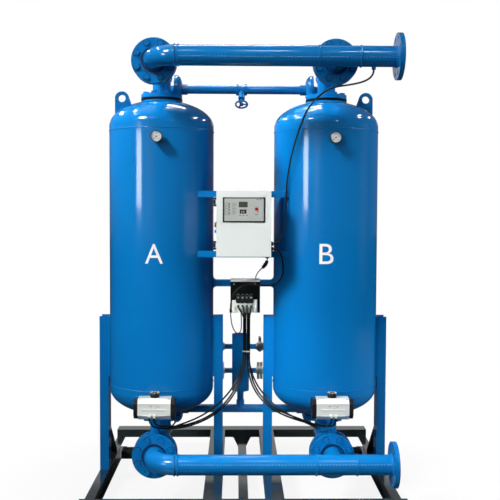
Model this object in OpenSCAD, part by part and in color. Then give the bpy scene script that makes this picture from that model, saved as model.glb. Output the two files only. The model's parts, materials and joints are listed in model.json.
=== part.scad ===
// Twin-tower desiccant air dryer on a channel-steel skid.
// Millimetres. X to the right, Y to the back, Z up.
// The origin is on the floor, midway between the tower axes.

/* [Towers] */
// Outside diameter of each tower
vessel_od = 508; // [440:1:580]
// Wall thickness of shell and heads
vessel_wall = 8; // [5:0.5:12]
// Distance between the two tower axes
tower_spacing = 806; // [780:1:900]
// Height of the weld between shell and bottom head
seam_z = 514; // [500:1:560]
// Length of the shell between its two head welds
shell_h = 1230; // [1100:1:1400]
// Straight rim of each dished head
head_rim = 25; // [15:1:35]
// Height of the nozzle pad above the head's crown
pad_rise = 3; // [2:0.5:8]
// Thickness of the support and retaining screens
screen_t = 6; // [3:1:12]
// Empty height above the desiccant bed
bed_headroom = 60; // [30:5:150]

/* [Main pipework] */
// Outside diameter of the main pipe
pipe_od = 89; // [82:0.5:96]
// Wall of the main pipe
pipe_wall = 4; // [3:0.5:6]
// Outside diameter of a main flange
flange_od = 200; // [190:1:215]
// Thickness of a main flange
flange_t = 20; // [16:1:26]
// Bolt circle of a main flange
flange_pcd = 160; // [150:1:170]
// Bolts in a main flange
flange_bolt_count = 8; // [4:4:12]
// Diameter of the flange bolts
bolt_d = 16; // [10:1:20]
// Bend radius of the main elbows
elbow_r = 114; // [100:1:130]
// Height of the outlet pipe's axis above the upper necks
outlet_rise = 117; // [100:1:155]
// Depth of the inlet pipe's axis below the lower necks
inlet_drop = 102; // [91:1:138]
// Distance of the front flange faces before the tower axes
face_y = 395; // [370:1:430]
// Distance of the manifold axes before the front flange faces
manifold_gap = 122; // [120:1:150]
// Right-hand end of both manifolds, from the middle
manifold_end_x = 668; // [640:1:760]
// Rear end of each header, behind its tower axis
header_rear = 86; // [70:1:100]
// Thickness of the neck gaskets
gasket_t = 6; // [2:0.5:8]

/* [Valves] */
// Face-to-face length of the outlet check valves
check_t = 20; // [18:1:30]
// Face-to-face length of the inlet butterfly valves
butterfly_t = 46; // [40:1:56]
// Diameter of the butterfly stems
stem_d = 16; // [10:1:20]
// Thickness of the butterfly discs
disc_t = 8; // [5:0.5:10]
// Length of an actuator body between its end caps
actuator_l = 148; // [120:1:180]
// Height of an actuator body
actuator_h = 95; // [80:1:110]
// Depth of an actuator body, front to back
actuator_d = 95; // [80:1:110]
// Thickness of each actuator end cap
cap_t = 19; // [10:1:26]
// Height of an actuator's underside above the inlet axis
actuator_rise = 166; // [150:1:180]

/* [Small lines] */
// Outside diameter of the purge and exhaust pipe
line_od = 42.4; // [36:0.1:46]
// Wall of the purge and exhaust pipe
line_wall = 3.2; // [2:0.1:5]
// Distance of both lines behind the tower axes
line_y = 200; // [185:1:212]
// Height of the purge line above the shell's top weld
purge_rise = 238; // [226:1:266]
// Depth of the exhaust line below the shell's bottom weld
exhaust_drop = 185; // [174:1:204]
// Bend radius of the small elbows
line_elbow_r = 48; // [40:1:52]
// Outside diameter of the round valve bodies on the small lines
line_valve_od = 144; // [110:1:148]
// Length of the purge check valves
purge_check_l = 38; // [30:1:50]
// Length of the exhaust valves
exhaust_valve_l = 44; // [36:1:56]
// Sideways place of the purge valve and the silencer
centre_x = -12; // [-30:1:30]
// Length of the purge valve body
purge_valve_l = 56; // [50:1:80]
// Tilt of the purge valve's stem below the horizontal
stem_tilt = 60; // [45:1:75]
// Distance of the handwheel from the pipe axis
wheel_reach = 92; // [80:1:110]
// Diameter of the handwheel
wheel_d = 68; // [54:1:90]
// Diameter of the silencer
silencer_od = 89; // [76:1:110]
// Height of the silencer
silencer_h = 295; // [270:1:340]
// Gap between exhaust pipe and silencer, bridged by the riser
riser_h = 75; // [50:1:100]
// Diameter of the riser
riser_od = 33.7; // [26:0.1:36]
// Outside diameter of the vent stubs
vent_od = 26.9; // [20:0.1:30]
// Height of the lower vent stubs above the silencer's underside
vent_low_rise = 103; // [80:1:130]
// Height of the upper vent stubs above the silencer's underside
vent_high_rise = 229; // [200:1:250]

/* [Skid and legs] */
// Height of a channel section
channel_h = 80; // [70:1:100]
// Flange width of a channel section
channel_w = 43; // [36:1:45]
// Thickness of the channel steel
channel_t = 5; // [3:0.5:8]
// Front-to-back length of the skid
skid_l = 1284; // [1200:1:1400]
// Distance of the skid's middle before the tower axes
skid_shift = 15; // [0:1:30]
// Distance of the inner rails from the middle
inner_rail_x = 136; // [126:1:140]
// Height of the leg tops
leg_top_z = 842; // [760:1:900]
// Gap between tower and leg, filled by the leg pad
leg_gap = 5; // [3:0.5:9]
// Height of the leg pads
leg_pad_h = 297; // [200:1:300]
// Rear foot of the leg braces, behind the tower axes
brace_rear = 292; // [220:1:330]
// Height of the brace on the leg above the rail
brace_rise = 215; // [160:1:300]
// Length of the floor anchor brackets
anchor_l = 120; // [90:1:160]
// Distance of the anchor brackets behind the tower axes
anchor_y = 440; // [400:1:480]
// Diameter of the anchor holes
anchor_hole_d = 18; // [12:1:22]

/* [Lifting lugs] */
// Distance of the lug hole from the tower axis
lug_reach = 194; // [180:1:205]
// Height of the lug hole above the shell's top weld
lug_rise = 163; // [155:1:180]
// Diameter of the lug hole
lug_hole_d = 36; // [26:1:42]
// Width of steel around the lug hole
lug_rim = 16; // [12:1:24]
// Thickness of a lug
lug_t = 16; // [10:1:24]

/* [Gauges] */
// Case diameter of the pressure gauges
gauge_od = 54; // [44:1:66]
// Depth of a gauge case
gauge_depth = 28; // [22:1:36]
// Standoff of a gauge case from the shell
gauge_standoff = 28; // [20:1:40]
// Height of the gauges below the shell's top weld
gauge_drop = 48; // [40:1:80]
// Sideways place of gauge A from its tower axis
gauge_dx_a = 3; // [-20:1:20]
// Sideways place of gauge B from its tower axis
gauge_dx_b = 13; // [-20:1:20]

/* [Control box] */
// Sideways place of the control box's middle
box_x = -2; // [-6:1:2]
// Width of the control box
box_w = 250; // [220:1:254]
// Height of the control box
box_h = 300; // [260:1:340]
// Depth of the box behind its door
box_d = 128; // [100:1:150]
// Depth of the door pan
door_d = 20; // [15:1:30]
// Distance of the hinges' middles from the box's top and underside
hinge_inset = 51; // [40:1:80]
// Sheet thickness of box and door
sheet_t = 2; // [1:0.5:3]
// Height of the box's underside
box_z = 1151; // [1130:1:1180]
// Distance of the box's back before the tower axes
box_back_y = 175; // [160:1:190]
// Width of the operator panel
panel_w = 192; // [170:1:210]
// Height of the operator panel
panel_h = 114; // [100:1:130]
// Thickness of the operator panel's front plate
panel_t = 3; // [2:0.5:5]
// Travel of the push button
button_travel = 3; // [2:0.5:4]
// Width of the bars that carry the box
bar_w = 30; // [24:1:36]
// Thickness of the bars that carry the box
bar_t = 5; // [3:0.5:8]

/* [Tie beam and pilot valves] */
// Height of the tie beam's underside
tie_z = 988; // [960:1:1010]
// Height of the tie beam
tie_h = 32; // [26:1:40]
// Depth of the tie beam
tie_d = 40; // [30:1:46]
// Width of the pilot valve plate
plate_w = 146; // [130:1:150]
// Height of the pilot valve plate
plate_h = 154; // [140:1:158]
// Thickness of the pilot valve plate
plate_t = 6; // [4:0.5:10]
// Number of pilot valves
pilot_count = 4; // [2:1:5]

/* [Hidden] */
$fn = 64;

// Colours
BLUE = "#1d6fb5";
DARK_STEEL = "#3b4448";
STEEL = "#b9bcb4";
ALUMINIUM = "#d3d3cd";
BLACK = "#17181a";
WHITE = "#e9ebec";
DESICCANT = "#ece7db";
RED = "#c32020";

// Clearances
seat_gap = 0.3;
weld_gap = 0.2;
run_gap = 0.05;
cut_over = 1;

// Tower
tower_x = tower_spacing / 2;
vessel_r = vessel_od / 2;
head_depth = vessel_od / 4;
head_steps = 14;
seam_top_z = seam_z + shell_h;
crown_low_z = seam_z - head_rim;
crown_top_z = seam_top_z + head_rim;
face_low_z = crown_low_z - head_depth - pad_rise;
face_top_z = crown_top_z + head_depth + pad_rise;
stud_depth = 13;
stud_hole_d = bolt_d + 2 * weld_gap;
welded_fn = 240;

// Main pipework
outlet_z = face_top_z + gasket_t + outlet_rise;
inlet_z = face_low_z - gasket_t - inlet_drop;
pipe_r = pipe_od / 2;
bore_r = pipe_r - pipe_wall;
branch_ease = 0.5;
manifold_y = -(face_y + manifold_gap);
flange_rear_y = -face_y + flange_t;
check_rear_y = flange_rear_y + check_t;
butterfly_rear_y = flange_rear_y + butterfly_t;
header_end_t = 6;
bolt_hole_d = bolt_d + 2;
bolt_head_af = bolt_d * 1.5;
bolt_head_h = bolt_d * 0.625;
nut_h = bolt_d * 0.8;
bolt_tail = 5;
sensor_boss_x = 552;
sensor_boss_y = manifold_y + 12;
sensor_boss_drop = 54;

// Check valve
ring_od = flange_pcd - bolt_hole_d - 6;
port_r = bore_r - 16;
flap_r = port_r + 5;
flap_t = 5;
flap_pin_d = 5;
flap_knuckle_d = 10;
flap_pin_z = bore_r - 7.5;
seat_wall = 7;
flap_seat_y = check_rear_y - seat_wall;
flap_pin_y = flap_seat_y - seat_gap - flap_knuckle_d / 2;

// Butterfly valve and actuator
valve_y = flange_rear_y + butterfly_t / 2;
disc_r = bore_r - 0.4;
hub_d = stem_d + 6;
trunnion_depth = 12;
valve_ring_od = ring_od - 4;
valve_neck_d = stem_d + 26;
valve_pad_d = 72;
valve_pad_t = 10;
actuator_z = inlet_z + actuator_rise;
indicator_d = 42;
indicator_h = 22;
indicator_chamfer = 8;
cap_inset = 3;
port_dx = [-19, 2];
port_shift_b = 10;
port_up = 21;
port_d = 13;

// Small lines
purge_z = seam_top_z + purge_rise;
exhaust_z = seam_z - exhaust_drop;
line_r = line_od / 2;
line_bore_r = line_r - line_wall;
collar_d = 53;
collar_l = 28;
collar_depth = 24;
valve_x0 = tower_x - line_elbow_r;
purge_check_x = valve_x0 - purge_check_l;
exhaust_valve_x = valve_x0 - exhaust_valve_l;
dome_steps = 6;
plug_d = 24;
plug_l = 20;
plug_lift = 4;
plug_grip = 7;
purge_stem_d = 10;
bonnet_d = 34;
bonnet_l = 58;
bonnet_cap = 12;
plug_top = bonnet_l - bonnet_cap - plug_lift - cut_over;
silencer_z = exhaust_z + line_r + riser_h;
silencer_wall = 4;
vent_rises = [vent_low_rise, vent_high_rise];
vent_stub_l = 36;
fitting_l = 40;

// Skid
beam_top_z = channel_h + channel_w;
skid_front_y = -skid_shift - skid_l / 2;
skid_rear_y = -skid_shift + skid_l / 2;
leg_web_x = tower_x + vessel_r + leg_gap;
rail_out_x = leg_web_x + channel_w;
inner_leg_x = tower_x - vessel_r - leg_gap;
brace_w = 36;
brace_t = 5;
hanger_t = 8;

// Gauges
gauge_front_y = -vessel_r - gauge_standoff - gauge_depth;
gauge_rim = 3.5;
gauge_pin_d = 3;
dial_depth = 5;

// Control box
box_front_y = -box_back_y - box_d;
door_front_y = box_front_y - seat_gap - door_d;
panel_top = 30;
panel_z = box_z + box_h - panel_top - panel_h;
panel_unit = [150, 84, 44];
hinge_x = box_x - box_w / 2 - 6.6;
hinge_d = 12;
hinge_pin_d = 6;
hinge_l = 20;
hinge_web = 7;
hinge_web_t = 4;
button_at = [57, 61];
button_stem_d = 8;
button_d = 12;
button_cap_t = 4;
button_recess = 16;
gland_d = 18;
gland_l = 12;
gland_rises = [33, 57];
gland_y = -250;
under_gland_at = [110, -215];

// Pilot valves
plate_x = 9;
plate_top_z = tie_z + tie_h - 7;
plate_front_y = -tie_d / 2 - plate_t;
bank_w = 124;
bank_h = 48;
bank_d = 32;
bank_shift = 3;
bank_drop = 151;
bank_z = plate_top_z - bank_drop;
bank_end = [12, 18];
pilot_pitch = 21;
pilot_w = 18;
pilot_h = 34;
pilot_proud = 8;
pilot_plug = [12, 22, 8];

// Cord diameters and routes
cable_d = 8;
wire_d = 5;
tube_d = 8;
SENSOR_ROUTE = [[552, -505, 1968], [551, -504, 1956], [546, -500, 1944], [536, -493, 1933], [522, -484, 1925],
    [504, -473, 1919], [482, -460, 1915], [456, -445, 1912], [430, -430, 1910], [404, -411, 1908],
    [380, -388, 1903], [358, -360, 1894], [338, -328, 1881], [318, -294, 1863], [300, -264, 1842],
    [284, -243, 1815], [270, -230, 1783], [256, -219, 1745], [243, -209, 1703], [231, -202, 1660],
    [220, -194, 1615], [211, -188, 1568], [204, -184, 1520], [200, -182, 1470], [198, -182, 1425],
    [197, -184, 1385], [196, -188, 1345], [194, -194, 1308], [188, -204, 1273], [178, -219, 1242],
    [168, -234, 1221], [159, -243, 1212], [150, -248, 1209], [142, -250, 1208], [135, -250, 1208]];
CONTROL_ROUTE = [[135, -250, 1184], [143, -250, 1184], [151, -250, 1182], [161, -250, 1176],
    [170, -249, 1163], [176, -246, 1146], [181, -238, 1118], [183, -225, 1090], [182, -208, 1066],
    [176, -187, 1045], [166, -163, 1027],
    [151, -137, 1013], [131, -111, 1004], [106, -87, 1000], [78, -68, 999], [50, -58, 1000], [23, -55, 1000],
    [-2, -55, 995], [-23, -54, 983], [-40, -52, 965], [-52, -50, 943], [-59, -48, 918], [-62, -46, 895],
    [-62, -45, 880]];
SUPPLY_ROUTE = [[110, -215, 1139], [109, -214, 1129], [106, -209, 1118], [101, -200, 1108], [95, -187, 1099],
    [89, -171, 1091], [83, -153, 1084], [78, -134, 1077], [73, -115, 1070], [69, -97, 1063], [66, -81, 1056],
    [63, -67, 1049], [61, -55, 1042], [60, -46, 1035], [60, -39, 1027], [60, -35, 1020], [60, -34, 1013]];
LOOP_ROUTE = [[-62, -45, 862], [-62, -45, 850], [-61, -46, 836], [-59, -48, 820], [-56, -50, 804],
    [-51, -52, 789], [-45, -54, 776], [-37, -55, 766], [-27, -56, 761], [-17, -56, 766], [-12, -56, 777],
    [-10, -56, 791], [-10, -55, 806], [-10, -53, 825], [-11, -50, 845], [-11, -47, 862]];
TUBE_A1 = [[2, -44, 862], [2, -44, 830], [2, -44, 790], [2, -45, 750], [2, -46, 710], [2, -50, 670],
    [1, -56, 630], [-4, -63, 590], [-14, -71, 552], [-29, -81, 516], [-48, -94, 482], [-71, -110, 451],
    [-98, -130, 424], [-128, -153, 402], [-160, -180, 386], [-194, -211, 375], [-228, -243, 369],
    [-262, -277, 367], [-296, -311, 369], [-328, -343, 375], [-357, -372, 384], [-376, -388, 390],
    [-388, -398, 395], [-395, -404, 402], [-399, -408, 411], [-401, -409, 421], [-401, -409, 430]];
TUBE_A2 = [[11, -44, 862], [11, -44, 830], [11, -44, 790], [11, -45, 750], [11, -46, 710], [11, -50, 670],
    [10, -56, 630], [5, -63, 588], [-6, -71, 547], [-22, -81, 509], [-42, -94, 474], [-66, -110, 442],
    [-94, -130, 415], [-126, -153, 393], [-159, -180, 377], [-194, -211, 366], [-229, -243, 360],
    [-264, -277, 358], [-299, -311, 360], [-333, -343, 366], [-364, -372, 374], [-390, -393, 383],
    [-406, -401, 391], [-414, -405, 400], [-420, -408, 410], [-422, -409, 421], [-422, -409, 430]];
TUBE_B1 = [[20, -44, 862], [20, -44, 830], [20, -44, 790], [20, -45, 750], [20, -46, 710], [20, -49, 670],
    [20, -54, 635], [22, -61, 600], [28, -69, 566], [37, -80, 533], [50, -93, 502], [68, -109, 474],
    [89, -128, 450], [114, -150, 430], [143, -175, 414], [175, -204, 402], [209, -235, 394],
    [244, -268, 389], [279, -301, 386], [313, -334, 385], [345, -364, 386], [372, -386, 388],
    [390, -399, 391], [400, -403, 394], [408, -406, 401], [413, -408, 410], [415, -409, 421],
    [415, -409, 430]];
TUBE_B2 = [[30, -44, 862], [30, -44, 830], [30, -44, 790], [30, -45, 750], [30, -46, 710], [30, -49, 670],
    [30, -54, 635], [32, -61, 601], [38, -69, 568], [46, -80, 536], [59, -93, 507], [76, -109, 480],
    [96, -128, 457], [120, -150, 438], [147, -175, 423], [178, -205, 412], [211, -237, 404],
    [244, -271, 399], [277, -306, 395], [309, -342, 391], [338, -372, 390], [355, -386, 390],
    [370, -398, 392], [379, -403, 395], [387, -406, 401], [392, -408, 410], [394, -409, 421],
    [394, -409, 430]];
EXHAUST_A = [[6, -34, 862], [6, -34, 820], [6, -34, 780], [6, -34, 740], [6, -35, 700], [3, -38, 660],
    [-2, -43, 620], [-12, -50, 580], [-27, -60, 541], [-49, -74, 503], [-77, -92, 468], [-110, -116, 437],
    [-147, -146, 411], [-187, -178, 391], [-227, -209, 377], [-264, -236, 368], [-298, -255, 360],
    [-326, -262, 352], [-344, -251, 344], [-352, -224, 335], [-352, -188, 326], [-349, -144, 319],
    [-344, -98, 314], [-339, -48, 311], [-335, 4, 309], [-333, 58, 309], [-333, 112, 309]];
EXHAUST_B = [[24, -34, 862], [24, -34, 820], [24, -34, 780], [24, -34, 740], [24, -35, 700], [26, -38, 660],
    [30, -43, 620], [38, -50, 582], [51, -60, 545], [69, -73, 510], [93, -91, 478], [122, -114, 449],
    [156, -142, 424], [193, -173, 404], [231, -204, 389], [266, -230, 377], [298, -248, 366],
    [325, -253, 355], [342, -240, 345], [350, -214, 336], [351, -178, 328], [348, -136, 321],
    [343, -90, 315], [338, -42, 311], [335, 8, 309], [333, 60, 309], [333, 112, 309]];

// Shared forms

// Turns a shape's +Z to +X, +Y or -Y and puts it in place
module along_x(x, y, z) { translate([x, y, z]) rotate([0, 90, 0]) children(); }
module along_y(x, y, z) { translate([x, y, z]) rotate([-90, 0, 0]) children(); }
module along_front(x, y, z) { translate([x, y, z]) rotate([90, 0, 0]) children(); }

// A shape and its mirror image across the middle
module both_sides() {
    children();
    mirror([1, 0, 0]) children();
}

// Copies on a flange's bolt circle, straddling its centre lines
module on_bolt_circle() {
    for (i = [0 : flange_bolt_count - 1])
        rotate((i + 0.5) * 360 / flange_bolt_count) translate([flange_pcd / 2, 0, 0]) children();
}

// A main flange without its bore
module flange_blank(thickness) {
    difference() {
        cylinder(d = flange_od, h = thickness);
        translate([0, 0, -cut_over])
            on_bolt_circle() cylinder(d = bolt_hole_d, h = thickness + 2 * cut_over);
    }
}

// Hexagon of a given width across flats
module hexagon(across_flats, height) { cylinder(d = across_flats / cos(30), h = height, $fn = 6); }

// Steel channel section, web on the left, feet pointing right
module channel_upright() {
    difference() {
        square([channel_w, channel_h]);
        translate([channel_t, channel_t]) square([channel_w, channel_h - 2 * channel_t]);
    }
}

// Steel channel section lying with its web on top
module channel_flat() {
    difference() {
        square([channel_h, channel_w]);
        translate([channel_t, -cut_over])
            square([channel_h - 2 * channel_t, channel_w - channel_t + cut_over]);
    }
}

// Quarter of the ellipse of a dished head, from its rim to a given radius
function head_arc(rim_r, depth, end_r, base_z, up) =
    [for (i = [0 : head_steps]) let (t = acos(end_r / rim_r) * i / head_steps)
        [rim_r * cos(t), base_z + up * depth * sin(t)]];
function reversed(list) = [for (i = [len(list) - 1 : -1 : 0]) list[i]];

// Outside of a tower with its weld gap, for cutting what is welded to it
module tower_form() {
    pad_r = flange_od / 2;
    form_r = vessel_r + weld_gap;
    form_depth = head_depth + weld_gap;
    rotate_extrude() polygon(concat(
        [[0, face_low_z], [pad_r, face_low_z]],
        reversed(head_arc(form_r, form_depth, pad_r, crown_low_z, -1)),
        head_arc(form_r, form_depth, pad_r, crown_top_z, 1),
        [[pad_r, face_top_z], [0, face_top_z]]));
}
module both_tower_forms() { both_sides() translate([-tower_x, 0, 0]) tower_form(); }

// Tower shell with dished heads, nozzle pads, tapped stud holes and line nozzles
module vessel() {
    pad_r = flange_od / 2;
    inner_r = vessel_r - vessel_wall;
    inner_depth = head_depth - vessel_wall;
    difference() {
        rotate_extrude() polygon(concat(
            head_arc(vessel_r, head_depth, pad_r, crown_top_z, 1),
            [[pad_r, face_top_z], [bore_r, face_top_z]],
            reversed(head_arc(inner_r, inner_depth, bore_r, crown_top_z, 1)),
            head_arc(inner_r, inner_depth, bore_r, crown_low_z, -1),
            [[bore_r, face_low_z], [pad_r, face_low_z]],
            reversed(head_arc(vessel_r, head_depth, pad_r, crown_low_z, -1))));
        on_bolt_circle() {
            translate([0, 0, face_top_z - stud_depth]) cylinder(d = stud_hole_d, h = stud_depth + cut_over);
            translate([0, 0, face_low_z - cut_over]) cylinder(d = stud_hole_d, h = stud_depth + cut_over);
        }
        translate([0, line_y, crown_top_z]) cylinder(r = line_bore_r, h = head_depth);
        translate([0, line_y, crown_low_z - head_depth]) cylinder(r = line_bore_r, h = head_depth);
    }
}
module vessel_a() { color(BLUE) translate([-tower_x, 0, 0]) vessel(); }
module vessel_b() { color(BLUE) translate([tower_x, 0, 0]) vessel(); }

// What the towers hold
module desiccant_beds() {
    color(DESICCANT) both_sides() translate([-tower_x, 0, seam_z + screen_t])
        cylinder(r = vessel_r - vessel_wall - seat_gap, h = shell_h - bed_headroom - 2 * screen_t);
}
module bed_screens() {
    color(STEEL) both_sides() for (z = [seam_z, seam_top_z - bed_headroom - screen_t])
        translate([-tower_x, 0, z]) cylinder(r = vessel_r - vessel_wall - seat_gap, h = screen_t);
}

// Skid
module rear_hanger() {
    top_half = channel_w / 2 + 28;
    foot_z = 24;
    along_front(0, skid_rear_y - channel_h + hanger_t, 0) linear_extrude(hanger_t)
        polygon([[-top_half, channel_h], [-channel_w / 2, foot_z], [channel_w / 2, foot_z],
            [top_half, channel_h]]);
}
module anchor_bracket() {
    translate([-rail_out_x + channel_w, anchor_y - channel_h / 2, 0]) difference() {
        union() {
            rotate([90, 0, 90]) linear_extrude(anchor_l) channel_flat();
            cube([channel_t, channel_h, channel_w]);
        }
        translate([anchor_l / 2, channel_h / 2, 0]) cylinder(d = anchor_hole_d, h = channel_w + cut_over);
    }
}
module skid_rail(x) {
    translate([x, skid_rear_y, 0]) rotate([90, 0, 0]) linear_extrude(skid_l) channel_upright();
}
module skid_rails() {
    color(DARK_STEEL) {
        both_sides() {
            skid_rail(-rail_out_x);
            anchor_bracket();
        }
        union() {
            skid_rail(-channel_w / 2);
            rear_hanger();
        }
    }
}
module skid_cross_beams() {
    color(DARK_STEEL) for (y = [skid_front_y, skid_rear_y - channel_h])
        translate([-rail_out_x, y, channel_h])
            rotate([90, 0, 90]) linear_extrude(2 * rail_out_x) channel_flat();
}
module skid_inner_rails() {
    color(DARK_STEEL) both_sides()
        translate([-inner_rail_x - channel_h / 2, skid_rear_y - channel_h, channel_h])
            rotate([90, 0, 0]) linear_extrude(skid_l - 2 * channel_h) channel_flat();
}

// Tower legs, their weld pads and the rear braces
module vessel_legs() {
    color(BLUE) both_sides() {
        translate([-leg_web_x, -channel_h / 2, channel_h])
            mirror([1, 0, 0]) linear_extrude(leg_top_z - channel_h) channel_upright();
        translate([-inner_leg_x, -channel_h / 2, beam_top_z])
            linear_extrude(leg_top_z - beam_top_z) channel_upright();
    }
}
module leg_pads() {
    color(BLUE) both_sides() difference() {
        for (x = [-leg_web_x, -inner_leg_x - leg_gap - vessel_wall])
            translate([x, -channel_h / 2, leg_top_z - leg_pad_h])
                cube([leg_gap + vessel_wall, channel_h, leg_pad_h]);
        translate([-tower_x, 0, 0]) cylinder(r = vessel_r + weld_gap, h = seam_top_z, $fn = welded_fn);
    }
}
module leg_braces() {
    start_y = channel_h / 2;
    low_z = channel_h;
    high_z = channel_h + brace_rise;
    inset = 2;
    color(DARK_STEEL) both_sides() translate([-leg_web_x - channel_w + inset, 0, 0]) {
        rotate([90, 0, 90]) linear_extrude(brace_t) polygon([[start_y, high_z], [start_y, high_z - brace_w],
            [brace_rear - brace_w, low_z], [brace_rear, low_z]]);
        translate([brace_t, 0, 0]) rotate([90, 0, 90]) linear_extrude(brace_w - brace_t)
            polygon([[start_y, high_z], [start_y, high_z - 2 * brace_t], [brace_rear - 2 * brace_t, low_z],
                [brace_rear, low_z]]);
    }
}

// Lifting lugs
module lifting_lugs() {
    hole_z = seam_top_z + lug_rise;
    lug_r = lug_hole_d / 2 + lug_rim;
    flare = 14;
    slope_top = [1.5, 8];
    color(BLUE) both_sides() difference() {
        along_front(-tower_x, lug_t / 2, 0) linear_extrude(lug_t) difference() {
            union() {
                translate([-lug_reach, hole_z]) circle(r = lug_r);
                polygon([[-lug_reach - lug_r, hole_z], [-lug_reach - lug_r, crown_top_z],
                    [-lug_reach + lug_r + flare, crown_top_z], [-lug_reach + lug_r + flare, hole_z - lug_r],
                    [-lug_reach + lug_r - slope_top[0], hole_z + slope_top[1]]]);
            }
            translate([-lug_reach, hole_z]) circle(d = lug_hole_d);
        }
        translate([-tower_x, 0, 0]) tower_form();
    }
}

// Main pipework
module neck_gaskets() {
    color(BLACK) both_sides() for (z = [face_top_z, face_low_z - gasket_t]) translate([-tower_x, 0, z])
        difference() {
            flange_blank(gasket_t);
            translate([0, 0, -cut_over]) cylinder(r = bore_r, h = gasket_t + 2 * cut_over);
        }
}

// Header from a tower's nozzle to a front flange: neck flange, neck, run and closed rear end
module header(axis_z, neck_z, front_y) {
    low_z = min(axis_z, neck_z);
    neck_h = abs(axis_z - neck_z);
    flange_z = axis_z > neck_z ? neck_z : neck_z - flange_t;
    difference() {
        union() {
            translate([0, 0, flange_z]) flange_blank(flange_t);
            translate([0, 0, low_z]) cylinder(r = pipe_r - branch_ease, h = neck_h);
            along_y(0, front_y, axis_z) flange_blank(flange_t);
            along_y(0, front_y, axis_z) cylinder(r = pipe_r, h = header_rear - front_y);
        }
        along_y(0, front_y - cut_over, axis_z)
            cylinder(r = bore_r, h = header_rear - front_y - header_end_t + cut_over);
        translate([0, 0, axis_z > neck_z ? neck_z - cut_over : axis_z])
            cylinder(r = bore_r - branch_ease, h = neck_h + cut_over);
    }
}
module top_header_a() {
    color(BLUE) translate([-tower_x, 0, 0]) header(outlet_z, face_top_z + gasket_t, check_rear_y);
}
module top_header_b() {
    color(BLUE) translate([tower_x, 0, 0]) header(outlet_z, face_top_z + gasket_t, check_rear_y);
}
module bottom_header_a() {
    color(BLUE) translate([-tower_x, 0, 0]) header(inlet_z, face_low_z - gasket_t, butterfly_rear_y);
}
module bottom_header_b() {
    color(BLUE) translate([tower_x, 0, 0]) header(inlet_z, face_low_z - gasket_t, butterfly_rear_y);
}

// Manifold along the front: elbow at tower A, tee at tower B, open flange at the right-hand end
module manifold_run(radius, reach) {
    stub_l = manifold_gap - elbow_r;
    translate([-tower_x + elbow_r, -face_y - stub_l, 0]) rotate([0, 0, 180])
        rotate_extrude(angle = 90) translate([elbow_r, 0]) circle(r = radius);
    along_y(-tower_x, -face_y - stub_l, 0) cylinder(r = radius, h = stub_l + reach);
    along_x(-tower_x + elbow_r, manifold_y, 0)
        cylinder(r = radius, h = manifold_end_x + tower_x - elbow_r + reach - flange_t);
    along_y(tower_x, manifold_y, 0) cylinder(r = radius - branch_ease, h = manifold_gap + reach);
}
module manifold(axis_z) {
    translate([0, 0, axis_z]) difference() {
        union() {
            manifold_run(pipe_r, flange_t / 2);
            for (side = [-1, 1]) along_y(side * tower_x, -face_y, 0) flange_blank(flange_t);
            along_x(manifold_end_x - flange_t, manifold_y, 0) flange_blank(flange_t);
        }
        manifold_run(bore_r, flange_t + cut_over);
    }
}
module outlet_manifold() {
    color(BLUE) {
        manifold(outlet_z);
        difference() {
            translate([sensor_boss_x, sensor_boss_y, outlet_z - sensor_boss_drop])
                cylinder(d = gland_d, h = sensor_boss_drop);
            along_x(sensor_boss_x - gland_d, manifold_y, outlet_z) cylinder(r = pipe_r, h = 2 * gland_d);
        }
    }
}
module inlet_manifold() { color(BLUE) manifold(inlet_z); }

// Wafer check valves behind the outlet manifold's flanges
module check_valve_body() {
    pin_half = sqrt(bore_r * bore_r - pow(flap_pin_z - flap_pin_d, 2));
    along_y(0, flange_rear_y, outlet_z) difference() {
        cylinder(d = ring_od, h = check_t);
        translate([0, 0, -cut_over]) cylinder(r = bore_r, h = check_t - seat_wall + cut_over);
        cylinder(r = port_r, h = check_t + cut_over);
    }
    along_x(-pin_half, flap_pin_y, outlet_z + flap_pin_z) cylinder(d = flap_pin_d, h = 2 * pin_half);
}
module check_valve_bodies() { color(DARK_STEEL) both_sides() translate([-tower_x, 0, 0]) check_valve_body(); }
module check_flap() {
    knuckle_l = 14;
    difference() {
        union() {
            along_front(0, flap_seat_y - seat_gap, outlet_z) cylinder(r = flap_r, h = flap_t);
            translate([-knuckle_l / 2, flap_pin_y, outlet_z])
                cube([knuckle_l, flap_seat_y - seat_gap - flap_pin_y, flap_pin_z]);
            along_x(-knuckle_l / 2, flap_pin_y, outlet_z + flap_pin_z)
                cylinder(d = flap_knuckle_d, h = knuckle_l);
        }
        along_x(-knuckle_l, flap_pin_y, outlet_z + flap_pin_z)
            cylinder(r = flap_pin_d / 2 + run_gap, h = 2 * knuckle_l);
    }
}
module check_flap_a() { color(STEEL) translate([-tower_x, 0, 0]) check_flap(); }
module check_flap_b() { color(STEEL) translate([tower_x, 0, 0]) check_flap(); }

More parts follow.
